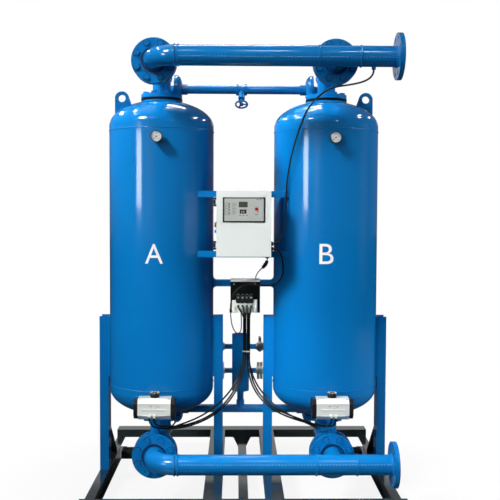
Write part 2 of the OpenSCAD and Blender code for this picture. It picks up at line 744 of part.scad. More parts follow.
// Butterfly valves behind the inlet manifold's flanges
module inlet_valve_body() {
    top_z = actuator_z - inlet_z;
    translate([0, valve_y, inlet_z]) difference() {
        union() {
            along_y(0, -butterfly_t / 2, 0) cylinder(d = valve_ring_od, h = butterfly_t);
            translate([0, 0, bore_r + pipe_wall]) cylinder(d = valve_neck_d, h = top_z - bore_r - pipe_wall);
            translate([0, 0, top_z - valve_pad_t]) cylinder(d = valve_pad_d, h = valve_pad_t);
        }
        along_y(0, -butterfly_t / 2 - cut_over, 0) cylinder(r = bore_r, h = butterfly_t + 2 * cut_over);
        translate([0, 0, -bore_r - trunnion_depth])
            cylinder(r = stem_d / 2 + run_gap, h = bore_r + trunnion_depth + top_z + cut_over);
    }
}
module inlet_valve_bodies() { color(BLUE) both_sides() translate([-tower_x, 0, 0]) inlet_valve_body(); }
module valve_disc() {
    foot = bore_r + trunnion_depth - seat_gap;
    top = actuator_rise + actuator_h + indicator_h / 2;
    hub_inset = 4;
    translate([0, valve_y, inlet_z]) {
        along_y(0, -disc_t / 2, 0) cylinder(r = disc_r - disc_t / 16, h = disc_t);
        translate([0, 0, -disc_r + hub_inset]) cylinder(d = hub_d, h = 2 * (disc_r - hub_inset));
        translate([0, 0, -foot]) cylinder(d = stem_d, h = foot + top);
    }
}
module valve_disc_a() { color(STEEL) translate([-tower_x, 0, 0]) valve_disc(); }
module valve_disc_b() { color(STEEL) translate([tower_x, 0, 0]) valve_disc(); }

// Pneumatic actuators on the butterfly valves
module actuator_section(shrink) {
    half_d = actuator_d / 2 - shrink;
    half_h = actuator_h / 2 - shrink;
    corner = 20;
    polygon([[-half_d, -half_h + corner], [-half_d + corner, -half_h], [half_d - corner, -half_h],
        [half_d, -half_h + corner], [half_d, half_h - corner], [half_d - corner, half_h],
        [-half_d + corner, half_h], [-half_d, half_h - corner]]);
}
module actuator_port(x) {
    front = -actuator_d / 2;
    reach = port_d + 2;
    collet_d = port_d - 2;
    collet_l = 8;
    along_front(x, front, port_up) cylinder(d = port_d, h = reach);
    translate([x, front - reach + collet_d / 2, port_up - collet_l]) cylinder(d = collet_d, h = collet_l);
}
module actuator_body() {
    translate([0, valve_y, actuator_z]) {
        difference() {
            translate([-actuator_l / 2, 0, actuator_h / 2])
                rotate([90, 0, 90]) linear_extrude(actuator_l) actuator_section(0);
            translate([0, 0, -cut_over]) cylinder(r = stem_d / 2 + run_gap, h = actuator_h + 2 * cut_over);
        }
    }
}
module actuator_ports(shift) {
    translate([0, valve_y, actuator_z]) for (x = port_dx) actuator_port(x + shift);
}
module actuator_bodies() {
    color(ALUMINIUM) for (side = [-1, 1]) translate([side * tower_x, 0, 0]) {
        actuator_body();
        actuator_ports(side > 0 ? port_shift_b : 0);
    }
}
module actuator_caps() {
    color(BLACK) both_sides() translate([-tower_x, valve_y, actuator_z + actuator_h / 2])
        for (x = [-actuator_l / 2 - cap_t, actuator_l / 2]) translate([x, 0, 0])
            rotate([90, 0, 90]) linear_extrude(cap_t) actuator_section(cap_inset);
}
module indicator() {
    translate([0, valve_y, actuator_z + actuator_h + seat_gap]) difference() {
        union() {
            cylinder(d = indicator_d, h = indicator_h - indicator_chamfer);
            translate([0, 0, indicator_h - indicator_chamfer])
                cylinder(d1 = indicator_d, d2 = indicator_d - indicator_chamfer, h = indicator_chamfer);
        }
        translate([0, 0, -cut_over]) cylinder(r = stem_d / 2 + weld_gap, h = indicator_h / 2 + cut_over);
    }
}
module indicator_a() { color(BLACK) translate([-tower_x, 0, 0]) indicator(); }
module indicator_b() { color(BLACK) translate([tower_x, 0, 0]) indicator(); }

// Small lines behind the towers
module line_elbow(radius, axis_z, up) {
    translate([line_elbow_r, 0, axis_z - up * line_elbow_r])
        rotate([90, 0, 0]) rotate([0, 0, up > 0 ? 90 : 180])
            rotate_extrude(angle = 90) translate([line_elbow_r, 0]) circle(r = radius);
}
module nozzle_elbow(axis_z, crown_z, up) {
    start_z = axis_z - up * line_elbow_r;
    low_z = min(start_z, crown_z);
    rise = abs(start_z - crown_z);
    translate([-tower_x, line_y, 0]) {
        difference() {
            line_elbow(line_r, axis_z, up);
            line_elbow(line_bore_r, axis_z, up);
        }
        difference() {
            translate([0, 0, low_z]) cylinder(r = line_r, h = rise);
            translate([0, 0, low_z - cut_over]) cylinder(r = line_bore_r, h = rise + 2 * cut_over);
            translate([0, -line_y, 0]) tower_form();
        }
    }
}
module nozzle_elbows() {
    color(BLUE) both_sides() {
        nozzle_elbow(purge_z, crown_top_z, 1);
        nozzle_elbow(exhaust_z, crown_low_z, -1);
    }
}

// Round valve body with a domed inner face, its axis along X, starting at its outer face
module domed_valve(length) {
    rim = length / 4;
    body_r = line_valve_od / 2;
    end_r = collar_d / 2;
    difference() {
        rotate_extrude() polygon(concat([[0, 0], [body_r, 0]],
            [for (i = [0 : dome_steps]) let (t = 90 * i / dome_steps)
                [end_r + (body_r - end_r) * cos(t), rim + (length - rim) * sin(t)]],
            [[0, length]]));
        translate([0, 0, -cut_over]) cylinder(r = line_bore_r, h = length + 2 * cut_over);
    }
}
module purge_check_valves() {
    color(BLUE) both_sides() along_x(-valve_x0, line_y, purge_z) domed_valve(purge_check_l);
}
module exhaust_valves() {
    port_at = EXHAUST_A[len(EXHAUST_A) - 1];
    color(BLUE) both_sides() {
        difference() {
            union() {
                along_x(-valve_x0, line_y, exhaust_z) domed_valve(exhaust_valve_l);
                along_y(port_at[0], port_at[1], port_at[2]) cylinder(d = port_d, h = line_y - port_at[1]);
            }
            along_x(-valve_x0 - cut_over, line_y, exhaust_z)
                cylinder(r = line_bore_r, h = exhaust_valve_l + 2 * cut_over);
        }
    }
}

// Straight piece of a small line with a collar at its outer end
module line_piece(x0, x1, axis_z, collar_at_start) {
    collar_x = collar_at_start ? x0 : x1 - collar_l;
    difference() {
        union() {
            along_x(x0, line_y, axis_z) cylinder(r = line_r, h = x1 - x0);
            along_x(collar_x, line_y, axis_z) cylinder(d = collar_d, h = collar_l);
        }
        along_x(x0 - cut_over, line_y, axis_z) cylinder(r = line_bore_r, h = x1 - x0 + 2 * cut_over);
    }
}
module purge_pipes() {
    color(BLUE) {
        line_piece(-purge_check_x, centre_x - purge_valve_l / 2, purge_z, true);
        line_piece(centre_x + purge_valve_l / 2, purge_check_x, purge_z, false);
    }
}

// Purge valve: body with a slanting bonnet, handwheel on its stem, sliding plug
module on_stem() { translate([centre_x, line_y, purge_z]) rotate([90 + stem_tilt, 0, 0]) children(); }
module purge_valve_body() {
    hex_l = 12;
    hex_af = collar_d - 3;
    seat_r = line_bore_r - 6;
    color(BLUE) difference() {
        union() {
            along_x(centre_x - purge_valve_l / 2, line_y, purge_z)
                cylinder(d = line_od + line_wall / 2, h = purge_valve_l);
            for (x = [centre_x - purge_valve_l / 2, centre_x + purge_valve_l / 2 - hex_l])
                along_x(x, line_y, purge_z) hexagon(hex_af, hex_l);
            on_stem() cylinder(d = bonnet_d, h = bonnet_l);
        }
        along_x(centre_x - purge_valve_l / 2 - cut_over, line_y, purge_z)
            cylinder(r = seat_r, h = purge_valve_l + 2 * cut_over);
        on_stem() {
            translate([0, 0, -plug_d / 2]) cylinder(d = plug_d, h = plug_d / 2 + bonnet_l - bonnet_cap);
            cylinder(r = purge_stem_d / 2 + run_gap, h = bonnet_l + cut_over);
        }
    }
}
module purge_handwheel() {
    rim_d = 9;
    hub_l = 10;
    spoke = [7, 5];
    wheel_r = (wheel_d - rim_d) / 2;
    stem_foot = plug_top - plug_grip;
    color(BLUE) on_stem() {
        translate([0, 0, stem_foot]) cylinder(d = purge_stem_d, h = wheel_reach - stem_foot);
        translate([0, 0, wheel_reach - hub_l / 2]) cylinder(d = 2 * purge_stem_d, h = hub_l);
        translate([0, 0, wheel_reach]) rotate_extrude() translate([wheel_r, 0]) circle(d = rim_d);
        for (i = [0 : 2]) rotate(120 * i)
            translate([0, -spoke[0] / 2, wheel_reach - spoke[1] / 2]) cube([wheel_r, spoke[0], spoke[1]]);
    }
}
module purge_plug() {
    color(STEEL) on_stem() translate([0, 0, plug_top - plug_l]) difference() {
        cylinder(d = plug_d - 2 * seat_gap, h = plug_l);
        translate([0, 0, plug_l - plug_grip - plug_lift - cut_over])
            cylinder(r = purge_stem_d / 2 + run_gap, h = plug_l);
    }
}

// Exhaust header with its riser, and the silencer with its vent stubs
module exhaust_header() {
    color(BLUE) difference() {
        union() {
            along_x(-exhaust_valve_x, line_y, exhaust_z) cylinder(r = line_r, h = 2 * exhaust_valve_x);
            for (x = [-exhaust_valve_x, exhaust_valve_x - collar_l])
                along_x(x, line_y, exhaust_z) cylinder(d = collar_d, h = collar_l);
            translate([centre_x, line_y, exhaust_z]) cylinder(d = riser_od, h = line_r + riser_h);
            translate([centre_x, line_y, exhaust_z]) cylinder(d = riser_od + 8, h = line_r + collar_depth);
        }
        along_x(-exhaust_valve_x - cut_over, line_y, exhaust_z)
            cylinder(r = line_bore_r, h = 2 * exhaust_valve_x + 2 * cut_over);
        translate([centre_x, line_y, exhaust_z])
            cylinder(d = riser_od - 2 * line_wall, h = line_r + riser_h + cut_over);
    }
}
module silencer() {
    lid_drop = 8;
    lid_hole_d = 12;
    lid_holes = 6;
    color(BLUE) translate([centre_x, line_y, silencer_z]) difference() {
        union() {
            cylinder(d = silencer_od, h = silencer_h);
            for (z = vent_rises) along_x(-silencer_od / 2 - vent_stub_l, 0, z)
                cylinder(d = vent_od, h = silencer_od + 2 * vent_stub_l);
        }
        translate([0, 0, silencer_wall])
            cylinder(d = silencer_od - 2 * silencer_wall, h = silencer_h - lid_drop - 2 * silencer_wall);
        translate([0, 0, silencer_h - lid_drop])
            cylinder(d = silencer_od - 2 * silencer_wall, h = lid_drop + cut_over);
        translate([0, 0, -cut_over]) cylinder(d = riser_od - 2 * line_wall, h = silencer_wall + 2 * cut_over);
        for (z = vent_rises) along_x(-silencer_od / 2 - vent_stub_l - cut_over, 0, z)
            cylinder(d = vent_od - 2 * line_wall, h = silencer_od + 2 * vent_stub_l + 2 * cut_over);
        for (i = [1 : lid_holes]) rotate(360 * i / lid_holes)
            translate([silencer_od / 4, 0, silencer_h - lid_drop - 2 * silencer_wall])
                cylinder(d = lid_hole_d, h = silencer_h);
    }
}

// Steel fittings between the vent stubs and the towers
module vent_flanges() {
    plate_od = 88;
    plate = 12;
    edge = 6;
    cylinder(d = vent_od + 2 * line_wall, h = fitting_l);
    for (z = [edge, fitting_l - edge - plate]) translate([0, 0, z]) cylinder(d = plate_od, h = plate);
}
module vent_valve() {
    hub = vent_od + 2 * line_wall;
    ball_od = 56;
    band = 6;
    cone = 14;
    start = (fitting_l - band) / 2 - cone;
    cylinder(d = hub, h = fitting_l);
    translate([0, 0, start]) cylinder(d1 = hub, d2 = ball_od, h = cone);
    translate([0, 0, start + cone]) cylinder(d = ball_od, h = band);
    translate([0, 0, start + cone + band]) cylinder(d1 = ball_od, d2 = hub, h = cone);
}
module vent_fitting(side, lower) {
    start_x = centre_x + side * (silencer_od / 2 + vent_stub_l);
    lever = [12, 60, 6];
    stem_h = 46;
    stem_w = 14;
    difference() {
        translate([start_x, line_y, silencer_z + vent_rises[lower ? 0 : 1]]) {
            rotate([0, side * 90, 0]) {
                if (lower) vent_flanges(); else vent_valve();
                translate([0, 0, fitting_l - cut_over])
                    cylinder(d = vent_od, h = tower_x - side * start_x - fitting_l);
            }
            if (!lower) {
                translate([side * fitting_l / 2, 0, 0]) cylinder(d = stem_w, h = stem_h);
                translate([side * fitting_l / 2 - lever[0] / 2, -lever[0] / 2, stem_h - lever[2]])
                    cube(lever);
            }
        }
        both_tower_forms();
    }
}
module vent_fittings() {
    color(STEEL) for (side = [-1, 1], lower = [true, false]) vent_fitting(side, lower);
}

// Pressure gauges
module gauge_case(dx) {
    stem_w = 14;
    translate([dx, 0, seam_top_z - gauge_drop]) difference() {
        union() {
            along_y(0, gauge_front_y, 0) difference() {
                cylinder(d = gauge_od, h = gauge_depth);
                translate([0, 0, -cut_over])
                    cylinder(d = gauge_od - 2 * gauge_rim, h = dial_depth + cut_over);
            }
            along_y(0, gauge_front_y + cut_over, 0) cylinder(d = gauge_pin_d, h = dial_depth);
            along_y(0, gauge_front_y + gauge_depth - cut_over, 0) cylinder(d = stem_w, h = vessel_r);
        }
        translate([-dx, 0, -shell_h / 2])
            cylinder(r = vessel_r + weld_gap, h = shell_h / 2 + gauge_drop, $fn = welded_fn);
    }
}
module gauge_cases() {
    color(BLACK) {
        translate([-tower_x, 0, 0]) gauge_case(gauge_dx_a);
        translate([tower_x, 0, 0]) gauge_case(gauge_dx_b);
    }
}
module gauge_pointer(dx) {
    zero_angle = 225;
    hub = [7, 1.6];
    needle = [gauge_od / 2 - 8, 1.6, 1];
    sunk = 2;
    along_y(dx, gauge_front_y + sunk, seam_top_z - gauge_drop) difference() {
        union() {
            cylinder(d = hub[0], h = hub[1]);
            rotate(-zero_angle) translate([0, -needle[1] / 2, 0]) cube(needle);
        }
        translate([0, 0, -cut_over]) cylinder(r = gauge_pin_d / 2 + run_gap, h = hub[1] + 2 * cut_over);
    }
}
module gauge_pointer_a() { color(BLACK) translate([-tower_x, 0, 0]) gauge_pointer(gauge_dx_a); }
module gauge_pointer_b() { color(BLACK) translate([tower_x, 0, 0]) gauge_pointer(gauge_dx_b); }

// Control box, its door, operator panel and button
module hinge_spots() {
    for (z = [box_z + hinge_inset, box_z + box_h - hinge_inset])
        translate([hinge_x, box_front_y, z]) children();
}
module control_box() {
    left = box_x - box_w / 2;
    color(WHITE) {
        difference() {
            translate([left, box_front_y, box_z]) cube([box_w, box_d, box_h]);
            translate([left + sheet_t, box_front_y - cut_over, box_z + sheet_t])
                cube([box_w - 2 * sheet_t, box_d - sheet_t + cut_over, box_h - 2 * sheet_t]);
        }
        hinge_spots() {
            for (z = [-hinge_l, hinge_l / 2 + seat_gap]) {
                translate([0, 0, z]) cylinder(d = hinge_d, h = hinge_l / 2 - seat_gap);
                translate([0, hinge_d / 2 - hinge_web_t, z])
                    cube([hinge_web, hinge_web_t, hinge_l / 2 - seat_gap]);
            }
            translate([0, 0, -hinge_l]) cylinder(d = hinge_pin_d, h = 2 * hinge_l);
        }
        for (z = gland_rises) along_x(left + box_w, gland_y, box_z + z) cylinder(d = gland_d, h = gland_l);
        translate([under_gland_at[0], under_gland_at[1], box_z - gland_l]) cylinder(d = gland_d, h = gland_l);
    }
}
module control_door() {
    left = box_x - box_w / 2;
    color(WHITE) difference() {
        union() {
            difference() {
                translate([left, door_front_y, box_z]) cube([box_w, door_d, box_h]);
                translate([left + sheet_t, door_front_y + sheet_t, box_z + sheet_t])
                    cube([box_w - 2 * sheet_t, door_d, box_h - 2 * sheet_t]);
            }
            hinge_spots() translate([0, 0, -hinge_l / 2 + seat_gap]) {
                cylinder(d = hinge_d, h = hinge_l - 2 * seat_gap);
                translate([0, -hinge_d / 2, 0]) cube([hinge_web, hinge_web_t, hinge_l - 2 * seat_gap]);
            }
        }
        hinge_spots() translate([0, 0, -hinge_l]) cylinder(r = hinge_pin_d / 2 + run_gap, h = 2 * hinge_l);
        translate([box_x, door_front_y, panel_z + panel_h / 2]) cube([panel_unit[0] + 2 * seat_gap,
            3 * sheet_t, panel_unit[1] + 2 * seat_gap], center = true);
    }
}
module control_panel() {
    stem_hole = button_stem_d / 2 + run_gap;
    color(BLACK) difference() {
        translate([box_x, door_front_y, panel_z + panel_h / 2]) {
            translate([-panel_w / 2, -panel_t, -panel_h / 2]) cube([panel_w, panel_t, panel_h]);
            translate([-panel_unit[0] / 2, 0, -panel_unit[1] / 2])
                cube([panel_unit[0], panel_unit[2], panel_unit[1]]);
        }
        translate([box_x + button_at[0], door_front_y, panel_z + button_at[1]]) {
            along_front(0, cut_over, 0) cylinder(r = stem_hole, h = panel_t + 2 * cut_over);
            along_y(0, 0, 0) cylinder(d = button_d + 2 * cut_over, h = button_recess);
        }
    }
}
module red_button() {
    cap_y = -panel_t - button_travel - seat_gap;
    stem_back = 8;
    stop_t = 3;
    color(RED) translate([box_x + button_at[0], door_front_y, panel_z + button_at[1]]) {
        along_front(0, cap_y, 0) cylinder(d = button_d, h = button_cap_t);
        along_y(0, cap_y, 0) cylinder(d = button_stem_d, h = stem_back - cap_y);
        along_y(0, seat_gap, 0) cylinder(d = button_d, h = stop_t);
    }
}

// Angle bars that carry the box, and the tie beam with the pilot valves
module box_bar(low_z, lip_on_top) {
    lip_z = lip_on_top ? low_z + bar_w - bar_t : low_z;
    translate([-tower_x, -box_back_y, low_z]) cube([tower_spacing, bar_t, bar_w]);
    translate([-tower_x, -box_back_y, lip_z]) cube([tower_spacing, bar_w, bar_t]);
}
module box_brackets() {
    bar_proud = [11, 3];
    color(BLUE) difference() {
        union() {
            box_bar(box_z - bar_proud[0], false);
            box_bar(box_z + box_h - bar_w + bar_proud[1], true);
        }
        both_tower_forms();
    }
}
module tie_beam() {
    fillet_r = 18;
    color(BLUE) difference() {
        union() {
            translate([-tower_x, -tie_d / 2, tie_z]) cube([tower_spacing, tie_d, tie_h]);
            both_sides() for (z = [tie_z - fillet_r, tie_z + tie_h]) along_front(-tower_x, tie_d / 2, z)
                linear_extrude(tie_d) difference() {
                    square([vessel_r + fillet_r, fillet_r]);
                    translate([vessel_r + fillet_r, z < tie_z ? 0 : fillet_r]) circle(r = fillet_r);
                }
        }
        both_tower_forms();
    }
}
module valve_plate() {
    lip = 16;
    color(BLACK) {
        translate([plate_x - plate_w / 2, plate_front_y, plate_top_z - plate_h])
            cube([plate_w, plate_t, plate_h]);
        translate([plate_x - plate_w / 2, plate_front_y - lip, plate_top_z - plate_t])
            cube([plate_w, lip, plate_t]);
    }
}
module solenoid_bank() {
    bank_x = plate_x - bank_shift;
    color(STEEL) translate([bank_x, plate_front_y - bank_d, bank_z]) {
        translate([-bank_w / 2, 0, 0]) cube([bank_w, bank_d, bank_h]);
        translate([-bank_w / 2 - bank_end[0], 0, 0]) cube([bank_end[0], bank_d, bank_end[1]]);
        for (i = [0 : pilot_count - 1])
            translate([(i - (pilot_count - 1) / 2) * pilot_pitch, -pilot_proud, bank_h]) {
                translate([-pilot_w / 2, 0, 0]) cube([pilot_w, bank_d + pilot_proud, pilot_h]);
                translate([-pilot_plug[0] / 2, pilot_proud / 2, pilot_h]) cube(pilot_plug);
            }
    }
}

// Bolts of all flange joints
module flange_bolt(grip) {
    translate([0, 0, -bolt_head_h]) hexagon(bolt_head_af, bolt_head_h);
    cylinder(d = bolt_d, h = grip + nut_h + bolt_tail);
    translate([0, 0, grip]) hexagon(bolt_head_af, nut_h);
}
module neck_stud(grip) {
    translate([0, 0, -bolt_head_h]) hexagon(bolt_head_af, bolt_head_h);
    cylinder(d = bolt_d, h = grip + stud_depth - seat_gap);
}
module flange_bolts() {
    neck_grip = flange_t + gasket_t;
    color(BLUE) for (side = [-1, 1]) translate([side * tower_x, 0, 0]) {
        along_y(0, -face_y, outlet_z) on_bolt_circle() flange_bolt(2 * flange_t + check_t);
        along_y(0, -face_y, inlet_z) on_bolt_circle() flange_bolt(2 * flange_t + butterfly_t);
        translate([0, 0, face_top_z + neck_grip]) mirror([0, 0, 1]) on_bolt_circle() neck_stud(neck_grip);
        translate([0, 0, face_low_z - neck_grip]) on_bolt_circle() neck_stud(neck_grip);
    }
}

// Cords: a round tube swept along a route
cord_sides = 10;
function unit(v) = v / norm(v);
function route_dir(route, i) = unit(route[min(i + 1, len(route) - 1)] - route[max(i - 1, 0)]);
function side_dir(d) = unit(cross(d, abs(d[2]) > 0.9 ? [0, 1, 0] : [0, 0, 1]));
// Carries the ring's first direction along the route without twist
function carried(route, i, before) =
    let (d = route_dir(route, i)) unit(before - (before * d) * d);
function frames(route, i = 0, found = []) =
    i == len(route) ? found
    : frames(route, i + 1, concat(found,
        [i == 0 ? side_dir(route_dir(route, 0)) : carried(route, i, found[i - 1])]));
module cord(route, diameter) {
    sides = frames(route);
    rings = [for (i = [0 : len(route) - 1])
        let (d = route_dir(route, i), u = sides[i], w = cross(d, u))
            for (k = [0 : cord_sides - 1]) let (t = 360 * k / cord_sides)
                route[i] + diameter / 2 * (cos(t) * u + sin(t) * w)];
    last = (len(route) - 1) * cord_sides;
    walls = [for (i = [0 : len(route) - 2], k = [0 : cord_sides - 1])
        let (a = i * cord_sides + k, b = i * cord_sides + (k + 1) % cord_sides)
            [a, a + cord_sides, b + cord_sides, b]];
    polyhedron(rings, concat([[for (k = [0 : cord_sides - 1]) k]], walls,
        [[for (k = [cord_sides - 1 : -1 : 0]) last + k]]));
}
module sensor_cable() { color(BLACK) cord(SENSOR_ROUTE, cable_d); }
module control_cable() { color(BLACK) cord(CONTROL_ROUTE, cable_d); }
module supply_cable() { color(BLACK) cord(SUPPLY_ROUTE, wire_d); }
module loop_wire() { color(BLACK) cord(LOOP_ROUTE, wire_d); }
module tube_a1() { color(BLACK) cord(TUBE_A1, tube_d); }
module tube_a2() { color(BLACK) cord(TUBE_A2, tube_d); }
module tube_b1() { color(BLACK) cord(TUBE_B1, tube_d); }
module tube_b2() { color(BLACK) cord(TUBE_B2, tube_d); }
module exhaust_tube_a() { color(BLACK) cord(EXHAUST_A, tube_d); }
module exhaust_tube_b() { color(BLACK) cord(EXHAUST_B, tube_d); }

skid_rails();
skid_cross_beams();
skid_inner_rails();
leg_braces();
vessel_a();
vessel_b();
vessel_legs();
leg_pads();
lifting_lugs();
desiccant_beds();
bed_screens();
neck_gaskets();
top_header_a();
top_header_b();
check_valve_bodies();
check_flap_a();
check_flap_b();
outlet_manifold();
bottom_header_a();
bottom_header_b();
inlet_valve_bodies();
valve_disc_a();
valve_disc_b();
inlet_manifold();
actuator_bodies();
actuator_caps();
indicator_a();
indicator_b();
nozzle_elbows();
purge_pipes();
purge_check_valves();
purge_valve_body();
purge_handwheel();
purge_plug();
exhaust_header();
exhaust_valves();
silencer();
vent_fittings();
gauge_cases();
gauge_pointer_a();
gauge_pointer_b();
control_box();
control_door();
control_panel();
red_button();
box_brackets();
tie_beam();
valve_plate();
solenoid_bank();
flange_bolts();
sensor_cable();
control_cable();
supply_cable();
loop_wire();
tube_a1();
tube_a2();
tube_b1();
tube_b2();
exhaust_tube_a();
exhaust_tube_b();
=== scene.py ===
"""Looks of the twin-tower desiccant air dryer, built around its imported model."""

import json
import math

import bmesh
import bpy
from mathutils import Matrix, Vector


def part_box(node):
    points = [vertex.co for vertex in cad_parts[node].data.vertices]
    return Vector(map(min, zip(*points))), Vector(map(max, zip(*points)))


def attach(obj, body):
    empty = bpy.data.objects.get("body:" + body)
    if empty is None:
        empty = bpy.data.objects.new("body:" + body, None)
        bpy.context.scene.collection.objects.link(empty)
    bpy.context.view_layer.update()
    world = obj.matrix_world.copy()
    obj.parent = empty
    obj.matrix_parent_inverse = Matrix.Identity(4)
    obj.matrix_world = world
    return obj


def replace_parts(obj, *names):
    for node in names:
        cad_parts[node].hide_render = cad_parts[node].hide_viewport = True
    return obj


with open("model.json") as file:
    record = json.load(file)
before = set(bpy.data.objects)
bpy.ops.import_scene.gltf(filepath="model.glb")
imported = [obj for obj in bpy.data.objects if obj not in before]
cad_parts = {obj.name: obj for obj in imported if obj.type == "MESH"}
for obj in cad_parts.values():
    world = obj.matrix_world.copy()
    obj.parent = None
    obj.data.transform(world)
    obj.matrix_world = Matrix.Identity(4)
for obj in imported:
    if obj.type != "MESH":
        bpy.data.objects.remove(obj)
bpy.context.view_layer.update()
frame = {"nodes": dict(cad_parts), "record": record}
NODES = frame["nodes"]
SLOT_OF = {part["node"]: part["material_slot"] for part in frame["record"]["subparts"]}
ROOT = "stand"
DOOR = "door"
MM = 0.001
AXIS_X, AXIS_Y, AXIS_Z = Vector((1, 0, 0)), Vector((0, 1, 0)), Vector((0, 0, 1))


def new_object(name, data):
    """Object in the scene that shows some data."""
    obj = bpy.data.objects.new(name, data)
    bpy.context.scene.collection.objects.link(obj)
    return obj


# Camera, at the photograph's viewpoint
CAMERA_AT = (-0.0345, -4.0483, 1.3518)
CAMERA_LENS = 59.0
CAMERA_SENSOR = 36.0
CAMERA_YAW, CAMERA_PITCH, CAMERA_ROLL = (math.radians(a) for a in (0.94, 2.61, 0.25))

# Routes of the cords, in millimetres
ROUTES = {
    "sensor_cable": [
        (552, -505, 1968), (551, -504, 1956), (546, -500, 1944), (536, -493, 1933), (522, -484, 1925),
        (504, -473, 1919), (482, -460, 1915), (456, -445, 1912), (430, -430, 1910), (404, -411, 1908),
        (380, -388, 1903), (358, -360, 1894), (338, -328, 1881), (318, -294, 1863), (300, -264, 1842),
        (284, -243, 1815), (270, -230, 1783), (256, -219, 1745), (243, -209, 1703), (231, -202, 1660),
        (220, -194, 1615), (211, -188, 1568), (204, -184, 1520), (200, -182, 1470), (198, -182, 1425),
        (197, -184, 1385), (196, -188, 1345), (194, -194, 1308), (188, -204, 1273), (178, -219, 1242),
        (168, -234, 1221), (159, -243, 1212), (150, -248, 1209), (142, -250, 1208), (135, -250, 1208)],
    "control_cable": [
        (135, -250, 1184), (143, -250, 1184), (151, -250, 1182), (161, -250, 1176), (170, -249, 1163),
        (176, -246, 1146), (181, -238, 1118), (183, -225, 1090), (182, -208, 1066), (176, -187, 1045),
        (166, -163, 1027), (151, -137, 1013), (131, -111, 1004), (106, -87, 1000), (78, -68, 999),
        (50, -58, 1000), (23, -55, 1000), (-2, -55, 995), (-23, -54, 983), (-40, -52, 965), (-52, -50, 943),
        (-59, -48, 918), (-62, -46, 895), (-62, -45, 880)],
    "supply_cable": [
        (110, -215, 1139), (109, -214, 1129), (106, -209, 1118), (101, -200, 1108), (95, -187, 1099),
        (89, -171, 1091), (83, -153, 1084), (78, -134, 1077), (73, -115, 1070), (69, -97, 1063),
        (66, -81, 1056), (63, -67, 1049), (61, -55, 1042), (60, -46, 1035), (60, -39, 1027), (60, -35, 1020),
        (60, -34, 1013)],
    "loop_wire": [
        (-62, -45, 862), (-62, -45, 850), (-61, -46, 836), (-59, -48, 820), (-56, -50, 804), (-51, -52, 789),
        (-45, -54, 776), (-37, -55, 766), (-27, -56, 761), (-17, -56, 766), (-12, -56, 777), (-10, -56, 791),
        (-10, -55, 806), (-10, -53, 825), (-11, -50, 845), (-11, -47, 862)],
    "tube_a1": [
        (2, -44, 862), (2, -44, 830), (2, -44, 790), (2, -45, 750), (2, -46, 710), (2, -50, 670),
        (1, -56, 630), (-4, -63, 590), (-14, -71, 552), (-29, -81, 516), (-48, -94, 482), (-71, -110, 451),
        (-98, -130, 424), (-128, -153, 402), (-160, -180, 386), (-194, -211, 375), (-228, -243, 369),
        (-262, -277, 367), (-296, -311, 369), (-328, -343, 375), (-357, -372, 384), (-376, -388, 390),
        (-388, -398, 395), (-395, -404, 402), (-399, -408, 411), (-401, -409, 421), (-401, -409, 430)],
    "tube_a2": [
        (11, -44, 862), (11, -44, 830), (11, -44, 790), (11, -45, 750), (11, -46, 710), (11, -50, 670),
        (10, -56, 630), (5, -63, 588), (-6, -71, 547), (-22, -81, 509), (-42, -94, 474), (-66, -110, 442),
        (-94, -130, 415), (-126, -153, 393), (-159, -180, 377), (-194, -211, 366), (-229, -243, 360),
        (-264, -277, 358), (-299, -311, 360), (-333, -343, 366), (-364, -372, 374), (-390, -393, 383),
        (-406, -401, 391), (-414, -405, 400), (-420, -408, 410), (-422, -409, 421), (-422, -409, 430)],
    "tube_b1": [
        (20, -44, 862), (20, -44, 830), (20, -44, 790), (20, -45, 750), (20, -46, 710), (20, -49, 670),
        (20, -54, 635), (22, -61, 600), (28, -69, 566), (37, -80, 533), (50, -93, 502), (68, -109, 474),
        (89, -128, 450), (114, -150, 430), (143, -175, 414), (175, -204, 402), (209, -235, 394),
        (244, -268, 389), (279, -301, 386), (313, -334, 385), (345, -364, 386), (372, -386, 388),
        (390, -399, 391), (400, -403, 394), (408, -406, 401), (413, -408, 410), (415, -409, 421),
        (415, -409, 430)],
    "tube_b2": [
        (30, -44, 862), (30, -44, 830), (30, -44, 790), (30, -45, 750), (30, -46, 710), (30, -49, 670),
        (30, -54, 635), (32, -61, 601), (38, -69, 568), (46, -80, 536), (59, -93, 507), (76, -109, 480),
        (96, -128, 457), (120, -150, 438), (147, -175, 423), (178, -205, 412), (211, -237, 404),
        (244, -271, 399), (277, -306, 395), (309, -342, 391), (338, -372, 390), (355, -386, 390),
        (370, -398, 392), (379, -403, 395), (387, -406, 401), (392, -408, 410), (394, -409, 421),
        (394, -409, 430)],
    "exhaust_tube_a": [
        (6, -34, 862), (6, -34, 820), (6, -34, 780), (6, -34, 740), (6, -35, 700), (3, -38, 660),
        (-2, -43, 620), (-12, -50, 580), (-27, -60, 541), (-49, -74, 503), (-77, -92, 468),
        (-110, -116, 437), (-147, -146, 411), (-187, -178, 391), (-227, -209, 377), (-264, -236, 368),
        (-298, -255, 360), (-326, -262, 352), (-344, -251, 344), (-352, -224, 335), (-352, -188, 326),
        (-349, -144, 319), (-344, -98, 314), (-339, -48, 311), (-335, 4, 309), (-333, 58, 309),
        (-333, 112, 309)],
    "exhaust_tube_b": [
        (24, -34, 862), (24, -34, 820), (24, -34, 780), (24, -34, 740), (24, -35, 700), (26, -38, 660),
        (30, -43, 620), (38, -50, 582), (51, -60, 545), (69, -73, 510), (93, -91, 478), (122, -114, 449),
        (156, -142, 424), (193, -173, 404), (231, -204, 389), (266, -230, 377), (298, -248, 366),
        (325, -253, 355), (342, -240, 345), (350, -214, 336), (351, -178, 328), (348, -136, 321),
        (343, -90, 315), (338, -42, 311), (335, 8, 309), (333, 60, 309), (333, 112, 309)],
}
